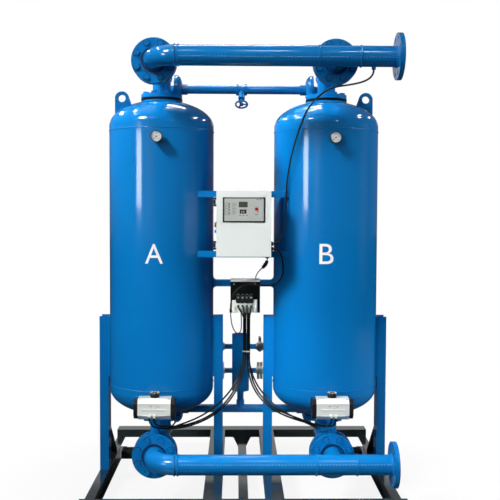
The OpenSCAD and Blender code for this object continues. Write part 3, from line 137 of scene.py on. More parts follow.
CORD_DIAMETERS = {"sensor_cable": 8, "control_cable": 8, "supply_cable": 5, "loop_wire": 5}
TUBE_DIAMETER = 8


# Materials

GRAIN_DEPTH = 0.5 * MM
COAT_ROUGHNESS = 0.05


def set_inputs(node, **values):
    """Values on a node's inputs, whose names have underscores here in place of spaces."""
    for name, value in values.items():
        node.inputs[name.replace("_", " ")].default_value = value
    return node


def wire(tree, *links):
    """Links of a node tree: from a node's output to another node's input."""
    for start, output, end, socket in links:
        tree.links.new(start.outputs[output], end.inputs[socket])


def surface(name, low, high, rough, metallic=0.0, patch=6.0, grain=400.0, bump=0.04, coat=0.0, edge=0.0,
            shine=0.5):
    """Procedural material: two close colours in soft patches, uneven gloss and a fine grain."""
    material = bpy.data.materials.new(name)
    material.use_nodes = True
    tree = material.node_tree
    shader = tree.nodes["Principled BSDF"]
    add = tree.nodes.new
    place = add("ShaderNodeTexCoord")
    patches = set_inputs(add("ShaderNodeTexNoise"), Scale=patch, Detail=4.0)
    fine = set_inputs(add("ShaderNodeTexNoise"), Scale=grain, Detail=2.0)
    colour = add("ShaderNodeMix")
    colour.data_type = "RGBA"
    set_inputs(colour, A=(*low, 1.0), B=(*high, 1.0))
    gloss = set_inputs(add("ShaderNodeMapRange"), To_Min=rough[0], To_Max=rough[1])
    relief = set_inputs(add("ShaderNodeBump"), Strength=bump, Distance=GRAIN_DEPTH)
    wire(tree, (place, "Object", patches, "Vector"), (place, "Object", fine, "Vector"),
         (patches, "Fac", colour, "Factor"), (colour, "Result", shader, "Base Color"),
         (patches, "Fac", gloss, "Value"), (gloss, "Result", shader, "Roughness"),
         (fine, "Fac", relief, "Height"), (relief, "Normal", shader, "Normal"))
    if edge:
        wire(tree, (set_inputs(add("ShaderNodeBevel"), Radius=edge), "Normal", relief, "Normal"))
    set_inputs(shader, Metallic=metallic, Specular_IOR_Level=shine, Coat_Weight=coat,
               Coat_Roughness=COAT_ROUGHNESS)
    return material


BLUE = surface("blue_gloss_paint", (0.0012, 0.155, 0.45), (0.002, 0.18, 0.5), (0.1, 0.15), patch=3.0,
               grain=260.0, bump=0.03, coat=0.35, edge=1.2 * MM, shine=0.25)
DARK = surface("dark_grey_paint", (0.016, 0.024, 0.025), (0.027, 0.037, 0.039), (0.16, 0.28), patch=9.0,
               grain=500.0, bump=0.05, coat=0.9, edge=1.5 * MM)
STEEL = surface("plated_steel", (0.42, 0.43, 0.4), (0.6, 0.61, 0.57), (0.24, 0.38), metallic=1.0,
                patch=30.0, grain=900.0, bump=0.05, edge=0.8 * MM)
ALUMINIUM = surface("cast_aluminium", (0.72, 0.74, 0.7), (0.81, 0.83, 0.79), (0.34, 0.46), metallic=0.15,
                    patch=18.0, grain=1500.0, bump=0.12, edge=1.5 * MM)
BLACK = surface("black_plastic", (0.004, 0.005, 0.005), (0.009, 0.01, 0.011), (0.34, 0.48), patch=25.0,
                grain=1800.0, bump=0.1, edge=1.0 * MM, shine=0.35)
RUBBER = surface("gasket_rubber", (0.001, 0.001, 0.0012), (0.002, 0.002, 0.0025), (0.6, 0.75), patch=40.0,
                 grain=900.0, shine=0.1)
SHEATH = surface("cable_sheath", (0.002, 0.002, 0.0025), (0.005, 0.005, 0.006), (0.36, 0.46), patch=35.0,
                 grain=1200.0, shine=0.3)
TUBE = surface("air_tube", (0.0015, 0.003, 0.003), (0.004, 0.007, 0.007), (0.14, 0.22), patch=25.0,
               grain=700.0, bump=0.02, shine=0.25)
WHITE = surface("box_powder_coat", (0.77, 0.81, 0.785), (0.83, 0.865, 0.84), (0.4, 0.5), patch=8.0,
                grain=1600.0, bump=0.14, edge=1.0 * MM)
RED = surface("red_button_plastic", (0.62, 0.012, 0.01), (0.75, 0.02, 0.015), (0.2, 0.3), patch=60.0,
              coat=0.3)
BEADS = surface("desiccant_beads", (0.78, 0.74, 0.66), (0.86, 0.82, 0.74), (0.7, 0.85), patch=200.0,
                grain=320.0, bump=0.8)
LETTER = surface("letter_white", (0.93, 0.95, 0.95), (0.97, 0.98, 0.98), (0.3, 0.4), patch=20.0)
DIAL = surface("dial_white", (0.66, 0.7, 0.71), (0.76, 0.8, 0.8), (0.25, 0.35), patch=90.0)
MEMBRANE = surface("panel_membrane", (0.43, 0.45, 0.42), (0.5, 0.52, 0.49), (0.35, 0.45), patch=20.0,
                   grain=2500.0, bump=0.05)
LCD = surface("display_glass", (0.05, 0.055, 0.04), (0.085, 0.09, 0.065), (0.1, 0.18), patch=120.0, coat=0.5)
FAINT = surface("faint_print", (0.3, 0.31, 0.3), (0.42, 0.43, 0.42), (0.4, 0.5), patch=150.0)
# Dark blue painted shade, for the recess round each front flange's pipe and the rings round its bolts
SHADE = surface("painted_shade_blue", (0.0008, 0.03, 0.1), (0.001, 0.045, 0.14), (0.3, 0.45), patch=30.0,
                shine=0.2)
# Blue with pale patches painted as glints along the pipe seams
SEAM_GLINT_BLUE = surface("blue_paint_with_painted_glints", (0.002, 0.17, 0.47), (0.3, 0.5, 0.68), (0.2, 0.4), patch=90.0)
PLATE = surface("plate_paint", (0.003, 0.005, 0.005), (0.006, 0.008, 0.008), (0.3, 0.42), patch=14.0,
                grain=900.0, edge=0.8 * MM, shine=0.12)
PRINT = surface("grey_print", (0.07, 0.08, 0.075), (0.11, 0.12, 0.115), (0.4, 0.5), patch=150.0)
BLUE_KEY = surface("blue_key_print", (0.03, 0.06, 0.35), (0.05, 0.1, 0.45), (0.3, 0.4), patch=150.0)
IVORY = surface("ivory_plastic", (0.62, 0.62, 0.56), (0.74, 0.74, 0.68), (0.35, 0.45), patch=40.0,
                grain=1500.0, edge=0.8 * MM)
BRASS = surface("brass_fitting", (0.4, 0.26, 0.07), (0.52, 0.35, 0.11), (0.25, 0.4), metallic=0.9, patch=60.0)
PALE = surface("pale_sheet", (0.78, 0.79, 0.79), (0.88, 0.89, 0.89), (0.28, 0.42), patch=45.0,
               edge=0.6 * MM)
LIT = surface("lit_figures", (0.75, 0.7, 0.62), (0.85, 0.8, 0.72), (0.3, 0.4), patch=150.0)
# The clear cover is white at a low alpha: a faint painted reflection over the dial
CLEAR = surface("gauge_cover", (0.9, 0.93, 0.95), (0.95, 0.97, 0.98), (0.02, 0.05), patch=40.0, bump=0.0)
set_inputs(CLEAR.node_tree.nodes["Principled BSDF"], Alpha=0.12)
SLOT_MATERIALS = {
    "blue_paint": BLUE, "dark_paint": DARK, "bright_steel": STEEL, "desiccant": BEADS,
    "gasket_rubber": RUBBER, "actuator_aluminium": ALUMINIUM, "black_plastic": BLACK,
    "pilot_valves": ALUMINIUM, "box_paint": WHITE, "red_plastic": RED, "cable_sheath": SHEATH,
    "air_tube": TUBE}


def dress_nodes():
    """Gives every CAD node the material of its slot."""
    for name, obj in NODES.items():
        material = SLOT_MATERIALS[SLOT_OF[name]]
        for spot in obj.material_slots:
            spot.material = material
        if not obj.material_slots:
            obj.data.materials.append(material)
    NODES["valve_plate"].material_slots[0].material = PLATE


# Building pieces, in millimetres until add_piece turns them into metres

def add_piece(name, shape, material, body=ROOT, sharp=35.0):
    """Turns a bmesh into a piece that rides on a body."""
    bmesh.ops.scale(shape, vec=(MM, MM, MM), verts=shape.verts)
    bmesh.ops.recalc_face_normals(shape, faces=shape.faces)
    for face in shape.faces:
        face.smooth = True
    for edge in shape.edges:
        if len(edge.link_faces) == 2 and edge.calc_face_angle(0.0) > math.radians(sharp):
            edge.smooth = False
    mesh = bpy.data.meshes.new(name)
    shape.to_mesh(mesh)
    shape.free()
    mesh.materials.append(material)
    obj = new_object(name, mesh)
    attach(obj, body)
    return obj


def axis_frame(axis):
    """Two directions square to an axis."""
    side = axis.orthogonal().normalized()
    return side, axis.cross(side).normalized()


def add_ring(shape, centre, across, up, sides):
    """Points of a circle that two vectors span."""
    turns = (2 * math.pi * i / sides for i in range(sides))
    return [shape.verts.new(centre + across * math.cos(t) + up * math.sin(t)) for t in turns]


def join_rings(shape, rings, closed=False):
    """Faces between rings of points, which close on themselves or are capped at their ends."""
    pairs = list(zip(rings, rings[1:]))
    if closed:
        pairs.append((rings[-1], rings[0]))
    for low, high in pairs:
        for i in range(len(low)):
            n = (i + 1) % len(low)
            shape.faces.new((low[i], low[n], high[n], high[i]))
    if not closed:
        shape.faces.new(rings[0][::-1])
        shape.faces.new(rings[-1])


def add_turned(shape, start, axis, profile, sides=32, closed=False):
    """Profile of (radius, distance) points turned about an axis through start."""
    side, other = axis_frame(axis)
    rings = [add_ring(shape, start + axis * along, side * radius, other * radius, sides)
             for radius, along in profile]
    join_rings(shape, rings, closed)


def add_front_rod(shape, at, size, sides):
    """Round bar that stands out to the front: its radius, length and chamfer."""
    radius, length, chamfer = size
    tip = radius - chamfer
    profile = [(tip, 0), (radius, chamfer), (radius, length - chamfer), (tip, length)]
    add_turned(shape, Vector(at), -AXIS_Y, profile, sides)


def add_sweep(shape, points, radii, sides=24):
    """Round bar along a line of points, with a radius at each."""
    rings = []
    for i, (here, radius) in enumerate(zip(points, radii)):
        axis = (points[min(i + 1, len(points) - 1)] - points[max(i - 1, 0)]).normalized()
        side = axis.cross(AXIS_X).normalized()
        rings.append(add_ring(shape, here, side * radius, axis.cross(side) * radius, sides))
    join_rings(shape, rings)


def add_boxes(shape, boxes, at=(0, 0, 0)):
    """Boxes about a place: the low corner, high corner and chamfer of each."""
    for low, high, chamfer in boxes:
        size = Vector(high) - Vector(low)
        middle = Vector(at) + (Vector(low) + Vector(high)) / 2
        made = bmesh.ops.create_cube(shape, size=1.0)["verts"]
        for vert in made:
            vert.co = vert.co * size + middle
        edges = list({edge for vert in made for edge in vert.link_edges})
        bmesh.ops.bevel(shape, geom=edges, offset=chamfer, segments=2, profile=0.5, affect="EDGES")


RIPPLE_STEPS, BEAD_RIPPLE, FEWEST_RIPPLES = 4, 0.2, 12
WELD_CREASE = 80.0


def add_bead(shape, centre, axis, radius, bead, pitch=5, sides=8):
    """Weld bead round a pipe, with the ripples of its runs."""
    side, other = axis_frame(axis)
    ripples = max(FEWEST_RIPPLES, round(2 * math.pi * radius / pitch))
    steps = ripples * RIPPLE_STEPS
    rings = []
    for i in range(steps):
        turn = 2 * math.pi * i / steps
        out = side * math.cos(turn) + other * math.sin(turn)
        size = bead * (1 + BEAD_RIPPLE * math.cos(ripples * turn))
        rings.append(add_ring(shape, centre + out * radius, out * size, axis * size, sides))
    join_rings(shape, rings, closed=True)


# Cords

def smooth_route(points, steps=4):
    """Catmull-Rom curve through the points."""
    ends = [points[0] * 2 - points[1]] + list(points) + [points[-1] * 2 - points[-2]]
    out = []
    for a, b, c, d in zip(ends, ends[1:], ends[2:], ends[3:]):
        for i in range(steps):
            t = i / steps
            out.append(0.5 * (2 * b + (c - a) * t + (2 * a - 5 * b + 4 * c - d) * t * t
                              + (3 * b - a - 3 * c + d) * t ** 3))
    return out + [points[-1]]


def add_cord(node, on_cord=()):
    """A cord as one curve along its route."""
    diameter = CORD_DIAMETERS.get(node, TUBE_DIAMETER) * MM
    points = smooth_route([Vector(p) * MM for p in ROUTES[node]])
    curve = bpy.data.curves.new(node + "_line", "CURVE")
    curve.dimensions = "3D"
    curve.bevel_depth = diameter / 2
    curve.bevel_resolution = 5
    curve.use_fill_caps = True
    spline = curve.splines.new("POLY")
    spline.points.add(len(points) - 1)
    for spot, point in zip(spline.points, points):
        spot.co = (*point, 1.0)
    spline.use_smooth = True
    cord = new_object(node + "_run", curve)
    curve.materials.append(SLOT_MATERIALS[SLOT_OF[node]])
    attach(cord, ROOT)
    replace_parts(cord, node)


# Flat pieces that face the front

def rounded_outline(low_x, high_x, low_z, high_z, radius, steps=6):
    """Points round a rectangle with rounded corners."""
    corners = ((high_x - radius, high_z - radius, 0), (low_x + radius, high_z - radius, 1),
               (low_x + radius, low_z + radius, 2), (high_x - radius, low_z + radius, 3))
    return [(x + radius * math.cos(math.pi / 2 * (quarter + i / steps)),
             z + radius * math.sin(math.pi / 2 * (quarter + i / steps)))
            for x, z, quarter in corners for i in range(steps + 1)]


def add_slab(shape, outline, front, back, hole=None):
    """Plate with an outline in X and Z, between two Y places, with a round hole if one is given."""
    walls = [[[shape.verts.new((x, y, z)) for x, z in outline] for y in (front, back)]]
    if hole:
        at_x, at_z, radius = hole
        turns = [math.atan2(z - at_z, x - at_x) for x, z in outline]
        rim = [(at_x + radius * math.cos(t), at_z + radius * math.sin(t)) for t in turns]
        walls.append([[shape.verts.new((x, y, z)) for x, z in rim] for y in (front, back)])
    count = len(outline)
    for i in range(count):
        n = (i + 1) % count
        for fore, rear in walls:
            shape.faces.new((fore[i], fore[n], rear[n], rear[i]))
        if hole:
            for level in (0, 1):
                outer, inner = walls[0][level], walls[1][level]
                shape.faces.new((outer[i], outer[n], inner[n], inner[i]))
    if not hole:
        shape.faces.new(walls[0][0])
        shape.faces.new(walls[0][1])


def text_shape(words, width, height, depth):
    """Mesh of upright characters, centred at the origin and facing -Y."""
    curve = bpy.data.curves.new("characters", "FONT")
    curve.body = words
    curve.extrude = 0.1
    curve.resolution_u = 8
    holder = new_object("characters", curve)
    bpy.context.view_layer.update()
    mesh = bpy.data.meshes.new_from_object(holder.evaluated_get(bpy.context.evaluated_depsgraph_get()))
    shape = bmesh.new()
    shape.from_mesh(mesh)
    bpy.data.objects.remove(holder)
    bpy.data.curves.remove(curve)
    bpy.data.meshes.remove(mesh)
    bmesh.ops.remove_doubles(shape, verts=shape.verts, dist=1e-5)
    spans = [(min(v.co[k] for v in shape.verts), max(v.co[k] for v in shape.verts)) for k in range(3)]
    for vert in shape.verts:
        across, up, out = ((vert.co[k] - a) / (b - a) - 0.5 for k, (a, b) in enumerate(spans))
        vert.co = (across * width, -out * depth, up * height)
    return shape


# Towers, in millimetres

PAD_RISE, SHELL_WALL = 3, 8
PAD_RADIUS, BORE_RADIUS = 100, 40.5
HEAD_RIM, SEAM_BEAD, SEAM_RUN = 25, 2.2, 9
# Each tower's letter: its text, width, height, and where its middle is across and up
TOWER_LETTERS = {"vessel_a": ("A", 83, 91, -14, 1159.5), "vessel_b": ("B", 65.5, 94, -19.5, 1161.5)}
LETTER_RISE, LETTER_STRIP = 0.5, 3


def head_arc(rim, depth, end, base, up, steps=40):
    """Points of a dished head from its rim inwards."""
    last = math.acos(end / rim)
    return [(rim * math.cos(last * i / steps), base + up * depth * math.sin(last * i / steps))
            for i in range(steps + 1)]


def add_tower(node):
    """A tower as one smooth turned shell in place of its banded solid, with its seams and letter."""
    low, high = (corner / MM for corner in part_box(node))
    radius = (high.x - low.x) / 2
    depth = radius / 2
    crown_top = high.z - PAD_RISE - depth
    crown_low = low.z + PAD_RISE + depth
    inner, inner_depth = radius - SHELL_WALL, depth - SHELL_WALL
    profile = (head_arc(radius, depth, PAD_RADIUS, crown_top, 1)
               + [(PAD_RADIUS, high.z), (BORE_RADIUS, high.z)]
               + head_arc(inner, inner_depth, BORE_RADIUS, crown_top, 1)[::-1]
               + head_arc(inner, inner_depth, BORE_RADIUS, crown_low, -1)
               + [(BORE_RADIUS, low.z), (PAD_RADIUS, low.z)]
               + head_arc(radius, depth, PAD_RADIUS, crown_low, -1)[::-1])
    middle = Vector(((low.x + high.x) / 2, (low.y + high.y) / 2, 0))
    shape = bmesh.new()
    add_turned(shape, middle, AXIS_Z, profile, sides=160, closed=True)
    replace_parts(add_piece(node + "_shell", shape, BLUE), node)
    shape = bmesh.new()
    for seam in (crown_low + HEAD_RIM, crown_top - HEAD_RIM):
        add_bead(shape, middle + AXIS_Z * seam, AXIS_Z, radius, SEAM_BEAD, pitch=SEAM_RUN, sides=6)
    add_piece(node + "_seams", shape, BLUE, sharp=WELD_CREASE)
    add_letter(node, middle, radius)


def add_letter(node, middle, radius):
    """The tower's letter as a thin plate bent round the shell."""
    words, width, height, shift, rise = TOWER_LETTERS[node]
    shape = text_shape(words, width, height, LETTER_RISE)
    strips = round(width / LETTER_STRIP)
    for i in range(1, strips):
        cut = width * (i / strips - 0.5)
        everything = list(shape.verts) + list(shape.edges) + list(shape.faces)
        bmesh.ops.bisect_plane(shape, geom=everything, plane_co=(cut, 0, 0), plane_no=(1, 0, 0))
    for vert in shape.verts:
        across = vert.co.x + shift
        reach = radius - vert.co.y + LETTER_RISE / 2
        vert.co = (middle.x + across, middle.y - math.sqrt(reach ** 2 - across ** 2), vert.co.z + rise)
    add_piece(node + "_letter", shape, LETTER, sharp=50)


# Pipe welds and flange trim, in millimetres

PIPE_RADIUS = 44.5
MANIFOLD_Y = -517
MANIFOLD_RINGS = (-302, -287, 317, 495, 647)
OUTLET_Z, INLET_Z = 2022, 251
TOWER_X = 403
# Flange fillets of the two lines, in Y
FILLETS = {OUTLET_Z: -334, INLET_Z: -308}
NECK_FACES = (1926, 332)
BEAD_SIZE = 3.4
FRONT_FACE = -395
HUB_RING, HUB_BEAD = 59.5, 2.6
BOLT_CIRCLE, BOLT_COUNT = 80, 8
# Profiles: radius, and distance out of a flange's face
# The dark ring round the pipe and the dark washer rings paint the shade in the flange's recess and round each
# bolt head
HUB_SHADE_RING = ((45, -0.2), (57, -0.2), (57, 0.5), (45, 0.5))
SHADED_WASHER = ((10, -0.2), (16.2, -0.2), (16.2, 1.2), (15.8, 1.6), (10, 1.6))
# Seams along the manifolds: from and to in X, their ripples, and their turn up from the front
SEAM_X, SEAM_PITCH, SEAM_SIZE, SEAM_RIPPLE = (-280, 640), 14, 1.0, 0.8
SEAM_TURNS = {OUTLET_Z: -15, INLET_Z: 17}
# Profile of the black band over a gasket's edge, drawn taller than the gasket to paint the shade of the gap
# between the flanges: distance out from the tower's pad, and height over its lower rim
BAND_LOW = 1892
BAND_EDGE = ((0.1, 0), (0.7, 0.5), (0.7, 12.5), (0.1, 13))


def add_pipe_welds():
    """Weld beads of the manifolds' rings, the flange fillets and the tower necks."""
    spots = [(Vector((at, MANIFOLD_Y, height)), AXIS_X) for height in FILLETS for at in MANIFOLD_RINGS]
    for side in (-TOWER_X, TOWER_X):
        spots += [(Vector((side, at, height)), AXIS_Y) for height, at in FILLETS.items()]
        spots += [(Vector((side, 0, height)), AXIS_Z) for height in NECK_FACES]
    shape = bmesh.new()
    for spot, axis in spots:
        add_bead(shape, spot, axis, PIPE_RADIUS, BEAD_SIZE)
    add_piece("pipe_welds", shape, BLUE, sharp=WELD_CREASE)


def add_flange_faces():
    """Raised ring round the pipe on each front flange, a dark ring inside it painted as the shade of the
    recess, and dark washer rings round its bolts that paint their shade.
    """
    recess, rings, shaded_washers = bmesh.new(), bmesh.new(), bmesh.new()
    for height in FILLETS:
        for side in (-TOWER_X, TOWER_X):
            centre = Vector((side, FRONT_FACE, height))
            add_turned(recess, centre, -AXIS_Y, HUB_SHADE_RING, sides=64, closed=True)
            add_bead(rings, centre, AXIS_Y, HUB_RING, HUB_BEAD)
            for i in range(BOLT_COUNT):
                turn = 2 * math.pi * (i + 0.5) / BOLT_COUNT
                spot = centre + BOLT_CIRCLE * (AXIS_X * math.cos(turn) + AXIS_Z * math.sin(turn))
                add_turned(shaded_washers, spot, -AXIS_Y, SHADED_WASHER, sides=32, closed=True)
    add_piece("flange_hub_shade_rings", recess, SHADE)
    add_piece("flange_rings", rings, BLUE, sharp=WELD_CREASE)
    add_piece("bolt_washer_shade_rings", shaded_washers, SHADE)


def add_pipe_seams():
    """Rippled seam along the front of each manifold, with pale patches painted as its glints."""
    shape = bmesh.new()
    length = SEAM_X[1] - SEAM_X[0]
    steps = RIPPLE_STEPS * round(length / SEAM_PITCH)
    profile = [(SEAM_SIZE * (1 + SEAM_RIPPLE * math.cos(2 * math.pi * i / RIPPLE_STEPS)), length * i / steps)
               for i in range(steps + 1)]
    for height, turn in SEAM_TURNS.items():
        out = PIPE_RADIUS * math.cos(math.radians(turn))
        rise = PIPE_RADIUS * math.sin(math.radians(turn))
        start = Vector((SEAM_X[0], MANIFOLD_Y - out, height + rise))
        add_turned(shape, start, AXIS_X, profile, sides=6)
    add_piece("pipe_seams", shape, SEAM_GLINT_BLUE, sharp=WELD_CREASE)


def add_neck_bands():
    """Black band over the gasket between each tower and its top flange, taller than the gasket to paint the
    shade of the gap between the flanges.
    """
    shape = bmesh.new()
    band = [(PAD_RADIUS + out, up) for out, up in BAND_EDGE]
    for side in (-TOWER_X, TOWER_X):
        add_turned(shape, Vector((side, 0, BAND_LOW)), AXIS_Z, band, sides=96, closed=True)
    add_piece("neck_gasket_shade_bands", shape, RUBBER)


# Gauges, in millimetres

GAUGE_AT = ((-400, 1696), (416, 1696))
GAUGE_FRONT, DIAL_FLOOR = -310, -305
# The dial's disc: where its back is, and its radius, thickness and chamfer
DIAL_BACK, DIAL_DISC = -304.9, (23.2, 0.5, 0.1)
DIAL_ZERO, DIAL_SWEEP = 225, 270
DIAL_STEPS, DIAL_NUMBERS, NUMBER_STEP = 32, 4, 4
# Long and short marks by their inner radius and width, and the radius where both end
LONG_MARK, SHORT_MARK, MARKS_END = (15.5, 0.9), (17.5, 0.45), 20
MARK_RISE, MARK_SHEET = 0.35, 0.3
# Widths of numbers with one digit and two
NUMBER_WIDTHS = (2.2, 4.2)
NUMBER_TALL, NUMBER_RADIUS, NUMBER_RISE = 3.6, 11.8, 0.55
# Profiles: radius, and distance back from the front of the case
GAUGE_RING = ((22.4, 0.8), (23.45, 0.8), (23.45, -0.5), (22.9, -0.9), (22.4, -0.5))
GAUGE_COVER = ((0.4, -0.35), (14, -0.25), (22.6, 0.05), (22.6, 0.55), (0.4, 0.35))


def dial_way(share):
    """Direction from the dial's middle at a share of its sweep."""
    turn = math.radians(DIAL_ZERO - DIAL_SWEEP * share)
    return Vector((math.cos(turn), 0, math.sin(turn)))


def add_gauge(name, at_x, at_z):
    """Dial with its marks and numbers, bright ring and clear cover of a gauge."""
    centre, face = Vector((at_x, DIAL_FLOOR, at_z)), Vector((at_x, GAUGE_FRONT, at_z))
    front = -AXIS_Y
    dial, marks, numbers, ring, cover = (bmesh.new() for _ in range(5))
    add_front_rod(dial, (at_x, DIAL_BACK, at_z), DIAL_DISC, sides=48)
    for step in range(DIAL_STEPS + 1):
        start, width = SHORT_MARK if step % (DIAL_STEPS // DIAL_NUMBERS) else LONG_MARK
        out = dial_way(step / DIAL_STEPS)
        side, rise = out.cross(AXIS_Y) * width / 2, front * MARK_SHEET
        ends = [centre + out * radius + front * MARK_RISE for radius in (start, MARKS_END)]
        corners = (-side, side, side + rise, rise - side)
        join_rings(marks, [[marks.verts.new(end + corner) for corner in corners] for end in ends])
    for number in range(DIAL_NUMBERS + 1):
        figure = str(number * NUMBER_STEP)
        words = text_shape(figure, NUMBER_WIDTHS[len(figure) - 1], NUMBER_TALL, MARK_SHEET)
        spot = centre + dial_way(number / DIAL_NUMBERS) * NUMBER_RADIUS + front * NUMBER_RISE
        bmesh.ops.translate(words, verts=words.verts, vec=spot)
        part = bpy.data.meshes.new("number")
        words.to_mesh(part)
        words.free()
        numbers.from_mesh(part)
        bpy.data.meshes.remove(part)
    add_turned(ring, face, AXIS_Y, GAUGE_RING, sides=64, closed=True)
    add_turned(cover, face, AXIS_Y, GAUGE_COVER, sides=64)
    add_piece(name + "_dial", dial, DIAL)
    add_piece(name + "_marks", marks, BLACK)
    add_piece(name + "_numbers", numbers, BLACK)
    add_piece(name + "_ring", ring, STEEL)
    add_piece(name + "_cover", cover, CLEAR)


# Control box, in millimetres

PANEL_X, PANEL_Z = (-97, 95), (1307, 1422)
PANEL_FRONT, PANEL_RIM = -326.3, 6.5
MEMBRANE_CORNER, MEMBRANE_STEP, MEMBRANE_RISE, MEMBRANE_SINK = 4, 6, 0.5, 0.2
# The button's hole: X, Z and radius
BUTTON_SPOT = (55, 1368, 7.5)
HINGE_AXIS = (-133.6, -303)
HINGE_HEIGHTS = (1202, 1400)
KNUCKLE_RADIUS, SLEEVE_RADIUS = 6.1, 7.0
FIXED_KNUCKLE, DOOR_KNUCKLE = (10.4, 20.2), (-9.6, 9.6)
GLANDS = (((123, -250, 1184), (1, 0, 0)), ((123, -250, 1208), (1, 0, 0)), ((110, -215, 1151), (0, 0, -1)))
BRASS_AT, COLLAR_AT = (-126.8, -215, 1294), (-126.8, -215, 1264)
# Profiles: radius, and distance out of the box's wall
GLAND_NUT = ((9.1, 0.5), (12.5, 0.5), (12.5, 4.5), (10.2, 5.2), (10.2, 10), (6, 13), (4.5, 13), (4.5, 12.1),
             (9.1, 12.1))
BRASS_BODY = ((14, 0), (14, 5), (12.5, 6), (12.5, 10), (10.5, 11.5), (5, 11.5))
COLLAR = ((8, 0), (8, 7), (6.5, 9), (6.5, 11), (4, 11))
# Bars of the printed face: low X, high X, low Z, high Z
SCHEME_BARS = ([(-88, -86.6, 1341, 1395), (-74, -72.6, 1341, 1395)]
               + [(-88, -66, z, z + 1.4) for z in (1341, 1353, 1368, 1381, 1393.6)]
               + [(-70, -65, z - 4, z + 3) for z in (1349, 1364, 1378, 1390)])
PRINT_BARS = ([(-56, -56 + length, 1394 - 6.2 * row, 1395.6 - 6.2 * row)
               for row, length in enumerate((21, 17, 23, 14, 19, 22, 16, 20, 13))]
              + [(52, 80, 1410, 1412), (48, 62, 1342, 1344.2), (-23, 13, 1401, 1402.2)])
KEY_BARS = [(x - 3.5, x + 3.5, 1337, 1341) for x in (-19, -4, 12)]
SCREEN_BARS = [(-25, 15, 1376, 1400), (-21, 10, 1347, 1366)]
LCD_BARS = [(-22.5, 12.5, 1378.5, 1397.5)]
# Lit strokes of a seven-stroke figure 0, as X and Z shares of its box, and the boxes of two
FIGURE_STROKES = ((0.2, 0.8, 0.0, 0.1), (0.2, 0.8, 0.9, 1.0), (0.0, 0.2, 0.08, 0.48),
                  (0.0, 0.2, 0.52, 0.92), (0.8, 1.0, 0.08, 0.48), (0.8, 1.0, 0.52, 0.92))
FIGURE_LEFTS, FIGURE_LOW, FIGURE_WIDE, FIGURE_TALL = (-14, -5), 1351, 5, 9
FIGURE_BARS = [(left + FIGURE_WIDE * a, left + FIGURE_WIDE * b, FIGURE_LOW + FIGURE_TALL * c,
                FIGURE_LOW + FIGURE_TALL * d) for left in FIGURE_LEFTS for a, b, c, d in FIGURE_STROKES]
# Layers on the panel: name, bars, heights of the back and front, corner radius, material and slot
PANEL_LAYERS = (
    ("panel_scheme", SCHEME_BARS, 0.4, 0.75, 0.4, PRINT, "black_plastic"),
    ("panel_print", PRINT_BARS, 0.4, 0.75, 0.3, PRINT, "black_plastic"),
    ("panel_keys", KEY_BARS, 0.4, 0.9, 1, BLUE_KEY, "blue_paint"),
    ("panel_screens", SCREEN_BARS, 0.4, 1.0, 1.5, BLACK, "black_plastic"),
    ("panel_lcd", LCD_BARS, 0.9, 1.2, 0.8, LCD, "black_plastic"),
    ("panel_figures", FIGURE_BARS, 0.9, 1.2, 0.25, LIT, "red_plastic"))


def add_panel_face():
    """Membrane of the control panel and the layers on it, which ride on the door."""
    outline = rounded_outline(PANEL_X[0] + PANEL_RIM, PANEL_X[1] - PANEL_RIM, PANEL_Z[0] + PANEL_RIM,
                              PANEL_Z[1] - PANEL_RIM, MEMBRANE_CORNER)
    dense = []
    for (x, z), (next_x, next_z) in zip(outline, outline[1:] + outline[:1]):
        steps = max(1, round(math.hypot(next_x - x, next_z - z) / MEMBRANE_STEP))
        dense += [(x + (next_x - x) * i / steps, z + (next_z - z) * i / steps) for i in range(steps)]
    shape = bmesh.new()
    add_slab(shape, dense, PANEL_FRONT - MEMBRANE_RISE, PANEL_FRONT + MEMBRANE_SINK, BUTTON_SPOT)
    add_piece("panel_membrane", shape, MEMBRANE, DOOR)
    for name, bars, back, front, radius, material, slot in PANEL_LAYERS:
        shape = bmesh.new()
        for bar in bars:
            outline = rounded_outline(*bar, radius, steps=3)
            add_slab(shape, outline, PANEL_FRONT - front, PANEL_FRONT - back)
        add_piece(name, shape, material, DOOR)


def add_hinges():
    """Black sleeves on the hinges' knuckles, of which the middle ones ride on the door."""
    fixed, moving = bmesh.new(), bmesh.new()
    near, far = FIXED_KNUCKLE
    for height in HINGE_HEIGHTS:
        for shape, (low, high) in ((moving, DOOR_KNUCKLE), (fixed, (near, far)), (fixed, (-far, -near))):
            sleeve = [(KNUCKLE_RADIUS, 0), (SLEEVE_RADIUS, 0), (SLEEVE_RADIUS, high - low),
                      (KNUCKLE_RADIUS, high - low)]
            add_turned(shape, Vector((*HINGE_AXIS, height + low)), AXIS_Z, sleeve, sides=32, closed=True)
    add_piece("hinge_sleeves", fixed, BLACK)
    add_piece("door_hinge_sleeves", moving, BLACK, DOOR)


def add_side_fitting():
    """Six-sided brass fitting and a blue collar on the box's left wall."""
    brass, collar = bmesh.new(), bmesh.new()
    add_turned(brass, Vector(BRASS_AT), -AXIS_X, BRASS_BODY, sides=6)
    add_turned(collar, Vector(COLLAR_AT), -AXIS_X, COLLAR, sides=28)
    add_piece("box_fitting", brass, BRASS, sharp=20)
    add_piece("box_fitting_collar", collar, BLUE)


def add_glands():
    """Black nuts over the cable glands."""
    shape = bmesh.new()
    for at, way in GLANDS:
        add_turned(shape, Vector(at), Vector(way), GLAND_NUT, sides=24, closed=True)
    add_piece("cable_glands", shape, BLACK)


# Pilot valves on their plate, in millimetres

BANK_X, PILOT_PITCH = 6, 21
PORT_TUBES = ("tube_a1", "tube_a2", "tube_b1", "tube_b2")
